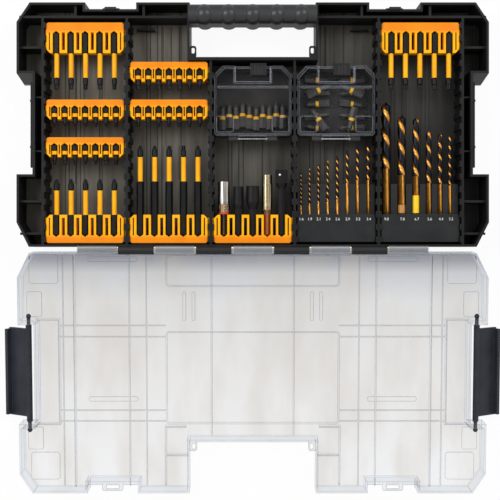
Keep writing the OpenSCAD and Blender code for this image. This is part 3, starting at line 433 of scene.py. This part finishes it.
black_steel = make_metal(
    "steel_black_oxide", ((11, 11, 12), (26, 25, 26), (52, 51, 53)), 0.2, (0.3, 0.46), 0.16)
chrome = make_metal(
    "steel_chrome", ((176, 178, 184), (222, 224, 228), (244, 244, 246)), 1.0, (0.08, 0.2))
grey_steel = make_metal(
    "steel_grey", ((66, 66, 68), (92, 91, 90), (112, 112, 114)), 0.3, (0.36, 0.5), 0.2)
rod_steel = make_metal(
    "steel_rod", ((168, 146, 96), (206, 186, 136), (232, 220, 180)), 1.0, (0.18, 0.3))
print("metals ready")

# %% [markdown]
# ## Holders in bands
# Each bit holder is one turned piece with plating that changes along it: a shank, a knurled stretch and a
# polished body. The magnetic holder's coppery shank is not plating but a painted reflection of the orange bar
# it lies in. The bands could be faces with materials of their own, but they depend only on how far along the
# case a point lies, so a colour ramp with hard steps paints them. Fine dark streaks along the holder break up
# its plain shine. The knurl comes first. Cut into the mesh, it would be hundreds of pyramids finer than a
# pixel. As a bump it is two crossed waves that run round the holder's axis, kept to their own stretch.

# %% Knurl helper
BAR_TOP = 34
HEX_FLAT = 6.35
BELOW_TOP = 0.3
BIT_HEIGHT = BAR_TOP - HEX_FLAT / math.cos(math.pi / 6) / 2 - BELOW_TOP
KNURL_TURNS = 9.0
KNURL_RATE = 3200.0
KNURL_FADE = 0.1


def add_knurl(tree, place, middle, low, high):
    """Crossed ridges round an axis at a place across, from low to high along the case, in mm."""
    centred = tree.nodes.new("ShaderNodeVectorMath")
    centred.operation = "SUBTRACT"
    centred.inputs[1].default_value = (middle * MM, 0.0, BIT_HEIGHT * MM)
    tree.links.new(place, centred.inputs[0])
    across, along, height = add_split(tree, centred.outputs["Vector"])
    angle = add_maths(tree, "ARCTAN2", height, across)
    pace = add_maths(tree, "MULTIPLY", along, KNURL_RATE)
    ridges = [add_maths(tree, "SINE", add_maths(tree, "MULTIPLY_ADD", angle, turns, pace))
              for turns in (KNURL_TURNS, -KNURL_TURNS)]
    inside = add_maths(tree, "MULTIPLY", add_range(tree, along, (low - KNURL_FADE) * MM, low * MM),
                       add_range(tree, along, (high + KNURL_FADE) * MM, high * MM))
    return add_maths(tree, "MULTIPLY", add_maths(tree, "MULTIPLY", *ridges), inside)


print("holders' axis at", round(BIT_HEIGHT, 2), "mm")

# %% [markdown]
# ## The holders' bands
# Seen from the hinge, one holder goes from a dark shank over a knurl to chrome, and the other from a shank
# painted coppery, a painted reflection of the orange bar, to brass. Each is a list of places and colours, and
# the edges are painted a little lighter, as a painted highlight.

# %% Banded holder finishes
BANDS_SPAN = 100


def make_holder_finish(name, middle, bands, knurl, roughness):
    """Bands are (first place in mm along the case, colour), from the hinge outwards."""
    material, tree, shader, place = start_material(name)
    span = add_range(tree, add_split(tree, place)[1], 0.0, BANDS_SPAN * MM)
    plating = add_ramp(tree, span, [(first / BANDS_SPAN, screen_colour(*tone)) for first, tone in bands],
                       "CONSTANT")
    streaks = add_noise(tree, place, 1.8, 2.0, (1.0, 0.04, 1.0))
    body = add_blend(tree, add_range(tree, streaks, 0.4, 0.62, 0.0, 0.6), plating, screen_colour(70, 56, 44))
    normal, mask = add_edges(tree, 0.3)
    # Painted highlight: the holders' edges are painted a lighter tone.
    tree.links.new(add_blend(tree, mask, body, screen_colour(214, 206, 192)), shader.inputs["Base Color"])
    shader.inputs["Metallic"].default_value = 1.0
    shader.inputs["Roughness"].default_value = roughness
    add_bump(tree, shader, add_knurl(tree, place, middle, *knurl), 0.3, 0.8, normal)
    return material


chrome_holder_finish = make_holder_finish(
    "holder_chrome", -27.6,
    [(0.0, (40, 36, 33)), (35.6, (166, 140, 112)), (43.5, (170, 163, 154)), (46.0, (190, 186, 180))],
    (36.0, 43.5), 0.16)
# Its first, coppery band is a painted reflection of the orange bar around the shank.
magnetic_holder_finish = make_holder_finish(
    "holder_magnetic", 13.8,
    [(0.0, (150, 84, 46)), (33.8, (150, 108, 80)), (38.6, (160, 142, 112)), (41.5, (176, 162, 130))],
    (34.0, 38.6), 0.18)
print("holder finishes ready")

# %% [markdown]
# ## Clear plastic
# Clear polycarbonate could be true glass, but glass throws hard dark shadows and hides what the box holds. A
# see-through shader mixed with a glossy one lets light straight through. Five things make it read as plastic.
# The tint changes along the case, because the lid's rear wall stands in the tray's shade. Layer Weight tells
# how edge-on a wall is, and edge-on walls take a cool tint. A faint streaky noise warms the flat parts, as
# flow lines do. Along every edge the bevelled normal parts from the true one: that mask draws painted lines,
# dark on the lid and bright on the box lids, in place of the light that clear plastic bends and reflects at
# its edges. And where the moulding is thick, as at the lid's knuckles, it turns milky, with a painted bright
# rim.

# %% Clear finish
# The rim's share paints a bright highlight round the milky part.
MILKY_SHARE, PAINTED_RIM_SHARE = 0.26, 0.85
FLOW_TINT = (0.78, 0.74, 0.68, 1.0)


def mix_shaders(tree, share, first, second):
    """Sends the first shader to the output, with a share of the second."""
    mix = tree.nodes.new("ShaderNodeMixShader")
    for socket, value in zip(mix.inputs, (share, first, second)):
        tree.links.new(value, socket)
    tree.links.new(mix.outputs["Shader"], tree.nodes["Material Output"].inputs["Surface"])


def add_tint(tree, place, along, facing, tints, edge_on):
    """What the light that passes through is tinted with, away from the edges' lines."""
    low, high = tints[0][0], tints[-1][0]
    span = add_range(tree, along, low * MM, high * MM)
    panel = add_ramp(tree, span, [((at - low) / (high - low), colour) for at, colour in tints])
    flow = add_noise(tree, place, 30, 3.0, (1.0, 0.35, 1.0))
    panel = add_blend(tree, add_range(tree, flow, 0.4, 0.68, 0.0, 0.3), panel, FLOW_TINT)
    return add_blend(tree, add_range(tree, facing, 0.45, 1.0), panel, edge_on)


def make_clear(name, tints, edge_on, line, veil, bright, shares, radius, milky=None):
    """Tints are (place in mm along the case, colour), and milky is the stretch where it turns so."""
    material, tree, shader, place = start_material(name)
    along = add_split(tree, place)[1]
    weight = tree.nodes.new("ShaderNodeLayerWeight")
    weight.inputs["Blend"].default_value = 0.5
    facing = weight.outputs["Facing"]
    normal, edges = add_edges(tree, radius)
    mask = add_range(tree, edges, 0.0, 0.4)
    see_through = tree.nodes.new("ShaderNodeBsdfTransparent")
    tint = add_tint(tree, place, along, facing, tints, edge_on)
    # Painted edge lines: along the edges the light that passes through takes the line colour instead of the
    # tint.
    tree.links.new(add_blend(tree, mask, tint, line), see_through.inputs["Color"])
    # Painted highlight: the glossy part turns to the bright colour along the edges.
    tree.links.new(add_blend(tree, mask, screen_colour(*veil), screen_colour(*bright)),
                   shader.inputs["Base Color"])
    shader.inputs["Roughness"].default_value = 0.12
    add_bump(tree, shader, add_noise(tree, place, 30, 2.0), 0.4, 0.15, normal)
    least, edge_share, painted_line_share = shares
    share = add_maths(tree, "MAXIMUM", add_range(tree, facing, 0.0, 1.0, least, edge_share),
                      add_range(tree, mask, 0.0, 1.0, 0.0, painted_line_share))
    if milky:
        thick = add_range(tree, along, milky[0] * MM, milky[1] * MM)
        painted_rim = add_maths(tree, "MULTIPLY", thick, mask)
        for part, most in ((thick, MILKY_SHARE), (painted_rim, PAINTED_RIM_SHARE)):
            share = add_maths(tree, "MAXIMUM", share, add_range(tree, part, 0.0, 1.0, 0.0, most))
    mix_shaders(tree, share, see_through.outputs["BSDF"], shader.outputs["BSDF"])
    return material


print("clear finish ready")

# %% [markdown]
# ## The two clear mouldings
# The lid lies over the pale floor, so it shows as a soft grey with painted darker lines. The small boxes'
# lids lie over dark plastic, where painted bright outlines and a dim veil tell that they are there. The same
# numbers can't do both, so the recipe is given two sets.

# %% Lid and box lids
# On the lid the line colour paints dark lines along the edges, and bright is a painted highlight on the edges
# and the knuckles' rim.
lid_clear = make_clear(
    "lid_clear",
    [(-222, (0.965, 0.966, 0.97, 1.0)), (-120, (0.92, 0.915, 0.91, 1.0)), (-50, (0.88, 0.88, 0.88, 1.0)),
     (-22, (0.79, 0.795, 0.81, 1.0)), (-8, (0.58, 0.59, 0.62, 1.0))],
    edge_on=(0.88, 0.91, 0.95, 1.0), line=(0.24, 0.28, 0.34, 1.0), veil=(200, 203, 208),
    bright=(226, 232, 244), shares=(0.05, 0.12, 0.1), radius=0.6, milky=(-6.5, -5.0))
# On the box lids the line colour and bright are both painted highlights along the edges.
box_clear = make_clear(
    "box_clear",
    [(100, (0.985, 0.985, 0.99, 1.0)), (176, (0.985, 0.985, 0.99, 1.0))],
    edge_on=(0.8, 0.83, 0.87, 1.0), line=(0.9, 0.92, 0.95, 1.0), veil=(52, 54, 60),
    bright=(214, 220, 232), shares=(0.04, 0.16, 0.7), radius=0.5)
print("clear plastics ready")

# %% [markdown]
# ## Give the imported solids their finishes
# The shells, bars, latches, indexes and small boxes have their true shapes already. Building
# them again would gain nothing, so they stay, and only their material changes. Two of the large
# drills carry a colour band: one is dark gold and one bright yellow. Both bands are one solid,
# so their finish changes at a place between them.

# %% Assign finishes
BETWEEN_BANDS, BLUR = 151.5, 0.1


def make_band_finish(name):
    """Dark gold on one side of a place across the case, bright yellow on the other."""
    material, tree, shader, place = start_material(name)
    grain = add_noise(tree, place, 1.2, 3.0, (1.0, 0.2, 1.0))
    gold = add_two_tone(tree, grain, (150, 104, 44), (196, 140, 62))
    paint = add_two_tone(tree, grain, (240, 192, 10), (252, 208, 18))
    across = add_split(tree, place)[0]
    side = add_range(tree, across, (BETWEEN_BANDS - BLUR) * MM, (BETWEEN_BANDS + BLUR) * MM)
    tree.links.new(add_blend(tree, side, gold, paint), shader.inputs["Base Color"])
    shader.inputs["Roughness"].default_value = 0.36
    return material


FINISHES.update({
    "base_tray": tray_plastic, "hinge_rod": rod_steel, "lid": lid_clear,
    "latch_left": latch_plastic, "latch_right": latch_plastic,
    "chrome_holder": chrome_holder_finish, "holder_collar": collar_plastic,
    "nut_driver_small": black_steel, "nut_driver_large": black_steel,
    "magnetic_holder": magnetic_holder_finish, "socket_adapter": black_steel, "adapter_ball": chrome,
    "index_small": index_plastic, "index_large": index_plastic,
    "drill_bands": make_band_finish("drill_band"),
})
FINISHES.update({"sleeves_" + letter: sleeve_plastic for letter in "adgi"})
FINISHES.update({"rings_" + letter: sleeve_plastic for letter in "bcef"})
for number in "12":
    FINISHES.update({
        "box_base_" + number: box_plastic, "box_lid_" + number: box_clear,
        "box_latch_" + number: catch_plastic, "box_pin_" + number: chrome,
        "box_bits_" + number: grey_steel, "box_rings_" + number: ring_plastic})
for name, material in FINISHES.items():
    nodes[name].data.materials.clear()
    nodes[name].data.materials.append(material)
print("finished", len(FINISHES), "solids")

# %% [markdown]
# ## Bits, section by section
# A driver bit is a bar whose section changes along its length: a tapered back end, a hexagon
# shank, a round neck, a thicker shoulder and then the driving tip. Cutting a tip out of a
# cylinder with booleans is slow and leaves messy faces. So it is made as a loft: a list of
# sections, each a ring of points at one place, joined by faces. A star, a square and a cross
# differ only in how far the ring's points stand from the middle.

# %% Outlines of the sections
RING = 24
SQUARE_CORNER = 0.62
STAR_DEPTH = 0.16
CROSS_DEPTH, CROSS_CURVE = 0.38, 1.6
BLADE_HALF = 0.6
LEAST = 0.02


def flat_sided(sides, size, angle):
    """Distance from the middle of a regular outline to its edge, for a size across its flats."""
    turn = angle % (2 * math.pi / sides) - math.pi / sides
    return size / 2 / math.cos(turn)


def ring_radius(shape, size, angle):
    """Distance from the axis to the outline, for a section of the given shape and size in mm."""
    if shape == "hex":
        return flat_sided(6, size, angle)
    if shape == "square":
        return min(flat_sided(4, size, angle), size * SQUARE_CORNER)
    if shape == "star":
        return size / 2 * (1 - STAR_DEPTH + STAR_DEPTH * math.cos(6 * angle))
    if shape == "cross":
        return size / 2 * (1 - CROSS_DEPTH + CROSS_DEPTH * abs(math.cos(2 * angle)) ** CROSS_CURVE)
    if shape == "blade":
        return min(size / 2 / max(abs(math.cos(angle)), LEAST), BLADE_HALF / max(abs(math.sin(angle)), LEAST))
    return size / 2


print("star's ring", [round(ring_radius("star", 1, math.pi * turn / 6), 2) for turn in range(3)])

# %% [markdown]
# ## From sections to a mesh
# All rings have the same number of points, so a face can join each pair of neighbours to the
# pair on the next ring. Curves with a bevel object make such tubes too, but they keep one
# section from end to end. The faces are turned outwards last, because the order of the points
# alone doesn't promise it. The drills use the same skin later.

# %% Loft helpers
def skin_rings(mesh, rings):
    """Faces between each ring and the next, and one across each end."""
    for near, far in zip(rings, rings[1:]):
        for step in range(RING):
            after = (step + 1) % RING
            mesh.faces.new((near[step], near[after], far[after], far[step]))
    mesh.faces.new(rings[0])
    mesh.faces.new(rings[-1])


def keep_mesh(name, mesh):
    """Turns an editing mesh into a plain one and frees it."""
    data = bpy.data.meshes.new(name)
    mesh.to_mesh(data)
    mesh.free()
    return data


def loft_sections(name, sections):
    """A closed mesh along -Y through (place along the bit, shape, size), all in mm."""
    mesh = bmesh.new()
    rings = []
    for along, shape, size in sections:
        ring = []
        for step in range(RING):
            angle = 2 * math.pi * step / RING
            radius = ring_radius(shape, size, angle) * MM
            ring.append(mesh.verts.new((radius * math.cos(angle), -along * MM, radius * math.sin(angle))))
        rings.append(ring)
    skin_rings(mesh, rings)
    bmesh.ops.recalc_face_normals(mesh, faces=mesh.faces)
    return bpy.data.objects.new(name, keep_mesh(name, mesh))


print("rings of", RING, "points")

# %% [markdown]
# ## Four driving tips and three lengths
# All bits share their ends and differ in the middle. Each tip is a line in a table: how the
# round shoulder gives way to the driving shape, and how that narrows to its end. The back end
# of a bit starts at 0, so its whole place is set by where its slot ends. The names carry a
# number, because a collection hands its objects to the row tree in the order of their names.

# %% Make one bit of each kind and length
# Kind: width at the waist, way to the tip and its width, way back from the end and the width
# there, width at the end. Ways are in mm, and widths are shares of the shoulder's.
TIPS = {
    "cross": (0.98, 0.6, 0.96, 0.8, 0.5, 0.3),
    "square": (0.96, 1.0, 0.62, 0.3, 0.58, 0.5),
    "star": (0.96, 1.0, 0.8, 0.3, 0.76, 0.66),
    "blade": (0.94, 0.8, 0.94, 0.2, 0.94, 0.9),
}
TAIL, TAIL_END = 1.6, 1.8
NECK = 3.4
SHOULDER_RUN = 1.0
# Family: length of the shank, of the neck and of the whole bit, and the shoulder's width by kind
LENGTHS = {
    "insert": (6.7, 3.5, 19.8, (4.8, 4.2, 5.2, 5.6)),
    "long": (20.2, 23.5, 54.6, (5.8, 5.0, 5.6, 5.8)),
    "extra": (52.2, 23.5, 86.6, (5.8, 5.0, 5.6, 5.8)),
}


def tip_sections(kind, start, length, body):
    """The last stretch of a bit, from its shoulder to its driving end."""
    at_waist, run_in, at_tip, run_out, near_end, at_end = TIPS[kind]
    waist, end = start + length * 0.5, start + length
    return [(start, "round", body), (waist, "round", body * at_waist), (waist + run_in, kind, body * at_tip),
            (end - run_out, kind, body * near_end), (end, kind, body * at_end)]


def make_bit(name, kind, shank, neck, total, body):
    """One bit with its back end at 0. The small steps in width round off the ends of the shank."""
    tip_start = shank + neck + SHOULDER_RUN
    sections = [(0.0, "hex", TAIL_END), (TAIL, "hex", HEX_FLAT - 0.1), (TAIL + 0.3, "hex", HEX_FLAT),
                (shank - 0.5, "hex", HEX_FLAT), (shank, "round", HEX_FLAT - 0.7),
                (shank + 0.05, "round", NECK), (shank + neck, "round", NECK)]
    return loft_sections(name, sections + tip_sections(kind, tip_start, total - tip_start, body))


PROTOTYPES = {}
for family, (shank, neck, total, bodies) in LENGTHS.items():
    PROTOTYPES[family] = bpy.data.collections.new("bits_" + family)
    for number, (kind, body) in enumerate(zip(TIPS, bodies)):
        name = "bit_%s_%d_%s" % (family, number, kind)
        PROTOTYPES[family].objects.link(make_bit(name, kind, shank, neck, total, body))

# %% [markdown]
# ## Rows of bits with Geometry Nodes
# Bits stand in rows at an even pitch. Copies could be placed in a loop, but an even row is just
# what an instancing tree does. The tree puts a line of points across the bar, picks one of a
# span of bit kinds for each from a seed, and turns the whole row for the bars whose slots open
# the other way. It makes the instances real and gives them their finish, so the row can be
# turned into a plain mesh.

# %% Row tree
def build_row_tree(name):
    tree = bpy.data.node_groups.new(name, "GeometryNodeTree")
    tree.is_modifier = True
    for label, kind in (("Bits", "NodeSocketCollection"), ("Count", "NodeSocketInt"),
                        ("Pitch", "NodeSocketFloat"), ("Middle", "NodeSocketVector"),
                        ("Turn", "NodeSocketFloat"), ("Seed", "NodeSocketInt"),
                        ("First kind", "NodeSocketInt"), ("Last kind", "NodeSocketInt"),
                        ("Finish", "NodeSocketMaterial")):
        tree.interface.new_socket(label, in_out="INPUT", socket_type=kind)
    tree.interface.new_socket("Geometry", in_out="OUTPUT", socket_type="NodeSocketGeometry")
    add, link = tree.nodes.new, tree.links.new
    given, result = add("NodeGroupInput").outputs, add("NodeGroupOutput")
    steps = add_maths(tree, "SUBTRACT", given["Count"], 1.0)
    start = add_maths(tree, "MULTIPLY", add_maths(tree, "MULTIPLY", steps, given["Pitch"]), -0.5)
    first, gap = add("ShaderNodeCombineXYZ"), add("ShaderNodeCombineXYZ")
    link(start, first.inputs["X"])
    link(given["Pitch"], gap.inputs["X"])
    line = add("GeometryNodeMeshLine")
    link(given["Count"], line.inputs["Count"])
    link(first.outputs[0], line.inputs["Start Location"])
    link(gap.outputs[0], line.inputs["Offset"])
    source = add("GeometryNodeCollectionInfo")
    source.inputs["Separate Children"].default_value = True
    link(given["Bits"], source.inputs["Collection"])
    choice = add("FunctionNodeRandomValue")
    choice.data_type = "INT"
    link(given["First kind"], choice.inputs[4])
    link(given["Last kind"], choice.inputs[5])
    link(given["Seed"], choice.inputs["Seed"])
    place = add("GeometryNodeInstanceOnPoints")
    place.inputs["Pick Instance"].default_value = True
    link(line.outputs["Mesh"], place.inputs["Points"])
    link(source.outputs["Instances"], place.inputs["Instance"])
    link(choice.outputs[2], place.inputs["Instance Index"])
    real = add("GeometryNodeRealizeInstances")
    link(place.outputs["Instances"], real.inputs["Geometry"])
    turn = add("ShaderNodeCombineXYZ")
    link(given["Turn"], turn.inputs["Z"])
    move = add("GeometryNodeTransform")
    link(real.outputs["Geometry"], move.inputs["Geometry"])
    link(given["Middle"], move.inputs["Translation"])
    link(turn.outputs[0], move.inputs["Rotation"])
    paint = add("GeometryNodeSetMaterial")
    link(move.outputs["Geometry"], paint.inputs["Geometry"])
    link(given["Finish"], paint.inputs["Material"])
    link(paint.outputs["Geometry"], result.inputs["Geometry"])
    return tree


row_tree = build_row_tree("bit_row")
print("tree inputs", [item.name for item in row_tree.interface.items_tree if item.in_out == "INPUT"])

# %% [markdown]
# ## Place the rows
# Each bar has a column and a distance from the hinge. Upright bars open towards the hinge, and
# the bars beside the hinge open the other way, so their rows are turned half round. A tree has
# to be given its inputs by their identifiers. Its result is taken from the evaluated object as
# a plain mesh, because only plain meshes can be moved and exported with their body.

# %% Rows of bits
SLOT_END_GAP = 0.8
# Slots, pitch and slot length of the bar that each family of bits lies in
SLOTS = {"insert": (7, 9.8, SHORT_SLOT), "long": (5, 13.8, TALL_SLOT), "extra": (5, 13.8, TALL_SLOT)}
# Column, open edge, turned round or not, family, seed, first and last kind of tip
ROWS = {
    "a": (-2, TALL_ROW, False, "long", 3, 1, 2),
    "b": (-2, SHORT_ROWS[1], False, "insert", 11, 0, 2),
    "c": (-2, SHORT_ROWS[2], False, "insert", 5, 0, 2),
    "d": (-2, LOW_ROW, True, "long", 8, 0, 0),
    "e": (-1, SHORT_ROWS[0], False, "insert", 2, 0, 2),
    "f": (-1, SHORT_ROWS[1], False, "insert", 9, 0, 2),
    "g": (-1, LOW_ROW, True, "extra", 14, 0, 1),
    "i": (2, TALL_ROW, False, "long", 6, 2, 3),
}


def apply_tree(name, tree, values):
    """Runs a tree on an empty mesh with the named inputs, and returns the result as a plain object."""
    seed = add_object(name + "_seed", bpy.data.meshes.new(name + "_seed"))
    modifier = seed.modifiers.new("nodes", "NODES")
    modifier.node_group = tree
    ids = {item.name: item.identifier for item in tree.interface.items_tree if item.in_out == "INPUT"}
    for label, value in values.items():
        modifier[ids[label]] = value
    graph = bpy.context.evaluated_depsgraph_get()
    data = bpy.data.meshes.new_from_object(seed.evaluated_get(graph), depsgraph=graph)
    bpy.data.objects.remove(seed)
    data.name = name
    return add_object(name, data)


for letter, (column, edge, turned, family, seed_number, first_kind, last_kind) in ROWS.items():
    count, pitch, slot = SLOTS[family]
    back = slot - SLOT_END_GAP
    middle = (column * COLUMN * MM, (edge - back if turned else edge + back) * MM, BIT_HEIGHT * MM)
    piece = apply_tree("row_" + letter, row_tree, {
        "Bits": PROTOTYPES[family], "Count": count, "Pitch": pitch * MM, "Middle": middle,
        "Turn": math.pi if turned else 0.0, "Seed": seed_number,
        "First kind": first_kind, "Last kind": last_kind, "Finish": black_steel})
    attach(piece, "bar_%s_set" % letter)
    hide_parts("bits_" + letter)
print("rows", len(ROWS))

# %% [markdown]
# ## The drills' finish
# The ground flutes of these drills shine gold and the lands between them are blue-black. Two
# materials would meet in steps along the mesh's faces. Instead each point of the mesh stores
# how far out it lies, and the finish reads that value and turns from one colour to the other.

# %% Drill material
def make_drill_finish(name):
    material, tree, shader, place = start_material(name)
    land = tree.nodes.new("ShaderNodeAttribute")
    land.attribute_name = "land"
    streaks = add_noise(tree, place, 0.8, 3.0, (1.0, 0.2, 1.0))
    gold = add_two_tone(tree, streaks, (172, 112, 42), (224, 162, 70))
    mask = add_range(tree, land.outputs["Fac"], 0.74, 0.86)
    tree.links.new(add_blend(tree, mask, gold, screen_colour(18, 20, 27)), shader.inputs["Base Color"])
    shader.inputs["Metallic"].default_value = 0.85
    shader.inputs["Roughness"].default_value = 0.32
    add_bump(tree, shader, streaks, 0.02, 0.4)
    return material


drill_finish = make_drill_finish("steel_drill")
print("drill finish ready")

# %% [markdown]
# ## Twist drills
# A twist drill's section is a disc with two flutes hollowed out of it, and that section turns
# steadily along the drill, one turn in a little over five diameters. A Screw modifier turns a
# section too, but a drill also has a plain shank and a point. So it is lofted like the bits,
# with each ring turned a little further than the last.

# %% Drill shape
DRILL_HEIGHT = 27.5
INDEX_EDGE, SHANK_INSET = 7.8, 6
FLUTE_LEAD = 5.2
FLUTE_DEPTH, FLUTE_CURVE = 0.42, 0.8
FEWEST_RINGS, RINGS_PER_WIDTH = 24, 9
SHANK_BASE, SHANK_SHARE = 1.1, 0.62
SHOULDER_STEP = 0.05
TIP_INSET, TIP_RADIUS = 0.02, 0.1
SHANK_VALUE = 0.5


def shank_width(width):
    """As wide as a thin drill itself, and narrower than a drill over about 3 mm."""
    return min(width, SHANK_BASE + SHANK_SHARE * width)


def drill_sections(width, start, end, share):
    """(place, radius, fluted or not) from shank to point, and where the flutes start, in mm."""
    flute_start = end - (end - start) * share
    first, last = flute_start + SHOULDER_STEP, end - width / 2
    count = max(FEWEST_RINGS, int((last - flute_start) / width * RINGS_PER_WIDTH))
    rows = [(start, shank_width(width) / 2, 0.0), (flute_start, shank_width(width) / 2, 0.0)]
    rows += [(first + (last - first) * step / count, width / 2, 1.0) for step in range(count + 1)]
    return rows + [(end - TIP_INSET, TIP_RADIUS, 1.0)], flute_start


def add_drill(mesh, layer, x, width, end, share):
    rows, flute_start = drill_sections(width, INDEX_EDGE + SHANK_INSET, end, share)
    rings = []
    for along, radius, fluted in rows:
        twist = 2 * math.pi * max(0.0, along - flute_start) / (FLUTE_LEAD * width)
        ring = []
        for step in range(RING):
            angle = 2 * math.pi * step / RING
            depth = FLUTE_DEPTH * fluted * max(0.0, math.sin(2 * angle)) ** FLUTE_CURVE
            far = radius * (1 - depth)
            point = mesh.verts.new(((x + far * math.cos(angle + twist)) * MM, along * MM,
                                    (DRILL_HEIGHT + far * math.sin(angle + twist)) * MM))
            point[layer] = 1 - depth if fluted else SHANK_VALUE
            ring.append(point)
        rings.append(ring)
    skin_rings(mesh, rings)


def make_drills(name, drills):
    """One piece from drills given as (place across, width, reach, fluted share)."""
    mesh = bmesh.new()
    layer = mesh.verts.layers.float.new("land")
    for drill in drills:
        add_drill(mesh, layer, *drill)
    bmesh.ops.recalc_face_normals(mesh, faces=mesh.faces)
    for face in mesh.faces:
        face.smooth = True
    data = keep_mesh(name, mesh)
    data.materials.append(drill_finish)
    return add_object(name, data)


print("drill shape ready")

# %% [markdown]
# ## Two rows of drills
# Each index holds a row of drills whose widths, places and reaches change evenly from one side
# to the other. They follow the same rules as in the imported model, so no drill is placed by
# hand. A whole row is one piece, because it moves with its index.

# %% Rows of drills
SMALL_COUNT, LARGE_COUNT = 8, 6
SMALL_MOST_REACH, LARGE_MOST_REACH = 100, 142


def small_drill(k):
    """Place across, width, reach and fluted share of one small drill, in mm."""
    place = COLUMN - 33.6 + k * (8 + 0.17 * k)
    reach = min(SMALL_MOST_REACH, 75 + 3.2 * k + 0.17 * k * k)
    return place, 1.6 + 0.26 * k, reach, 0.55 if k < 5 else 0.38


def large_drill(k):
    """The same for one large drill. The first three reach further than the rest."""
    place = 2 * COLUMN - 32.3 + k * (15.9 - 0.72 * k)
    reach = LARGE_MOST_REACH if k == 0 else (132 if k < 3 else 121.5) - 2.4 * k
    return place, 9 - 1.15 * k, reach, 0.5


small_drills = [small_drill(k) for k in range(SMALL_COUNT)]
large_drills = [large_drill(k) for k in range(LARGE_COUNT)]
for size, drills in (("small", small_drills), ("large", large_drills)):
    piece = make_drills("twist_drills_" + size, drills)
    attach(piece, size + "_index_set")
    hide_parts("drills_" + size)
print("drills", len(small_drills) + len(large_drills))

# %% [markdown]
# ## Size numbers
# A white number stands on each index before its drill, and it is the drill's own diameter in
# millimetres. Digits painted by a shader would need a picture or a maze of nodes. A text object
# gives their shapes; turned into a mesh and laid a tenth of a millimetre over the block, it
# reads as print.

# %% Size numbers
INDEX_TOP, PRINT_LIFT = 33, 0.1
NUMBER_SIZE = 3.6
NUMBERS_ALONG = 28.4
number_paint = make_moulded(
    "number_white", ((214, 214, 212), (236, 236, 234), (240, 240, 240)), (0.5, 0.6), 0.6, 0.02,
    radius=0.1, shine=0.3)


def add_numbers(name, drills):
    """One piece with the width of each drill, printed on the index before it."""
    mesh = bmesh.new()
    for x, width, _, _ in drills:
        text = bpy.data.curves.new(name, "FONT")
        text.body = "%.1f" % width
        text.size = NUMBER_SIZE * MM
        text.align_x = "CENTER"
        holder = add_object(name, text)
        graph = bpy.context.evaluated_depsgraph_get()
        flat = bpy.data.meshes.new_from_object(holder.evaluated_get(graph), depsgraph=graph)
        for point in flat.vertices:
            point.co.x += x * MM
            point.co.y += NUMBERS_ALONG * MM
            point.co.z = (INDEX_TOP + PRINT_LIFT) * MM
        mesh.from_mesh(flat)
        bpy.data.objects.remove(holder)
    data = keep_mesh(name, mesh)
    data.materials.append(number_paint)
    return add_object(name, data)


for size, drills in (("small", small_drills), ("large", large_drills)):
    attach(add_numbers("numbers_" + size, drills), size + "_index_set")
print("numbers", len(small_drills) + len(large_drills))

# %% [markdown]
# ## The floor
# The floor is pale and keeps a soft shadow. A brighter lamp would turn it white, but it would
# bleach the case as well. So most of what the camera sees of the floor is its own white, mixed
# in only for rays that come from the camera, from a mirror or through clear plastic.

# %% Floor
FLOOR_HALF = 4
FLOOR_DROP = 0.5
OWN_WHITE_SHARE = 0.93


def add_seen(tree):
    """1 for the rays that the camera sends straight, by a mirror or through clear plastic."""
    path = tree.nodes.new("ShaderNodeLightPath").outputs
    seen = add_maths(tree, "MAXIMUM", path["Is Camera Ray"], path["Is Glossy Ray"])
    return add_maths(tree, "MAXIMUM", seen, path["Is Transmission Ray"])


floor_data = bpy.data.meshes.new("floor")
floor_data.from_pydata([(x * FLOOR_HALF, y * FLOOR_HALF, 0) for x, y in ((-1, -1), (1, -1), (1, 1), (-1, 1))],
                       [], [(0, 1, 2, 3)])
floor = add_object("floor", floor_data)
floor.location.z = -FLOOR_DROP * MM
floor_material = bpy.data.materials.new("floor")
floor_material.use_nodes = True
tree = floor_material.node_tree
floor_shader = tree.nodes["Principled BSDF"]
floor_shader.inputs["Roughness"].default_value = 0.9
floor_shader.inputs["Base Color"].default_value = (0.85, 0.85, 0.85, 1.0)
own_white = tree.nodes.new("ShaderNodeEmission")
mix_shaders(tree, add_maths(tree, "MULTIPLY", add_seen(tree), OWN_WHITE_SHARE),
            floor_shader.outputs["BSDF"], own_white.outputs["Emission"])
floor_data.materials.append(floor_material)
print("floor", 2 * FLOOR_HALF, "m across")

# %% [markdown]
# ## Lamps and sky
# One hard lamp would cut deep shadows into the slots. Two broad lamps at the sides and a weak
# sky light the case evenly, as a photographer's tent does. The sky is white to the camera and
# to mirrors, and weaker as a light, by the same mask as the floor's white.

# %% Lamps and sky
SKY_AS_LIGHT, SKY_AS_SEEN = 0.55, 1.0


def add_lamp(name, place, power, size):
    """A round lamp of a power in watts and a size in metres, aimed at the case."""
    data = bpy.data.lights.new(name, "AREA")
    data.shape = "DISK"
    data.size = size
    data.energy = power
    lamp = add_object(name, data)
    lamp.location = place
    lamp.rotation_euler = (-lamp.location).to_track_quat("-Z", "Y").to_euler()


add_lamp("lamp_left", (-0.9, 0.5, 1.3), 13, 0.8)
add_lamp("lamp_right", (0.9, 0.7, 1.3), 10, 0.8)
world = bpy.data.worlds.new("world")
bpy.context.scene.world = world
world.use_nodes = True
tree = world.node_tree
sky = tree.nodes["Background"]
sky.inputs["Color"].default_value = (1, 1, 1, 1)
tree.links.new(add_range(tree, add_seen(tree), 0.0, 1.0, SKY_AS_LIGHT, SKY_AS_SEEN), sky.inputs["Strength"])
bpy.context.scene.view_settings.view_transform = "Standard"

# %% [markdown]
# ## Finish

# %% Finish
print("scene finished")
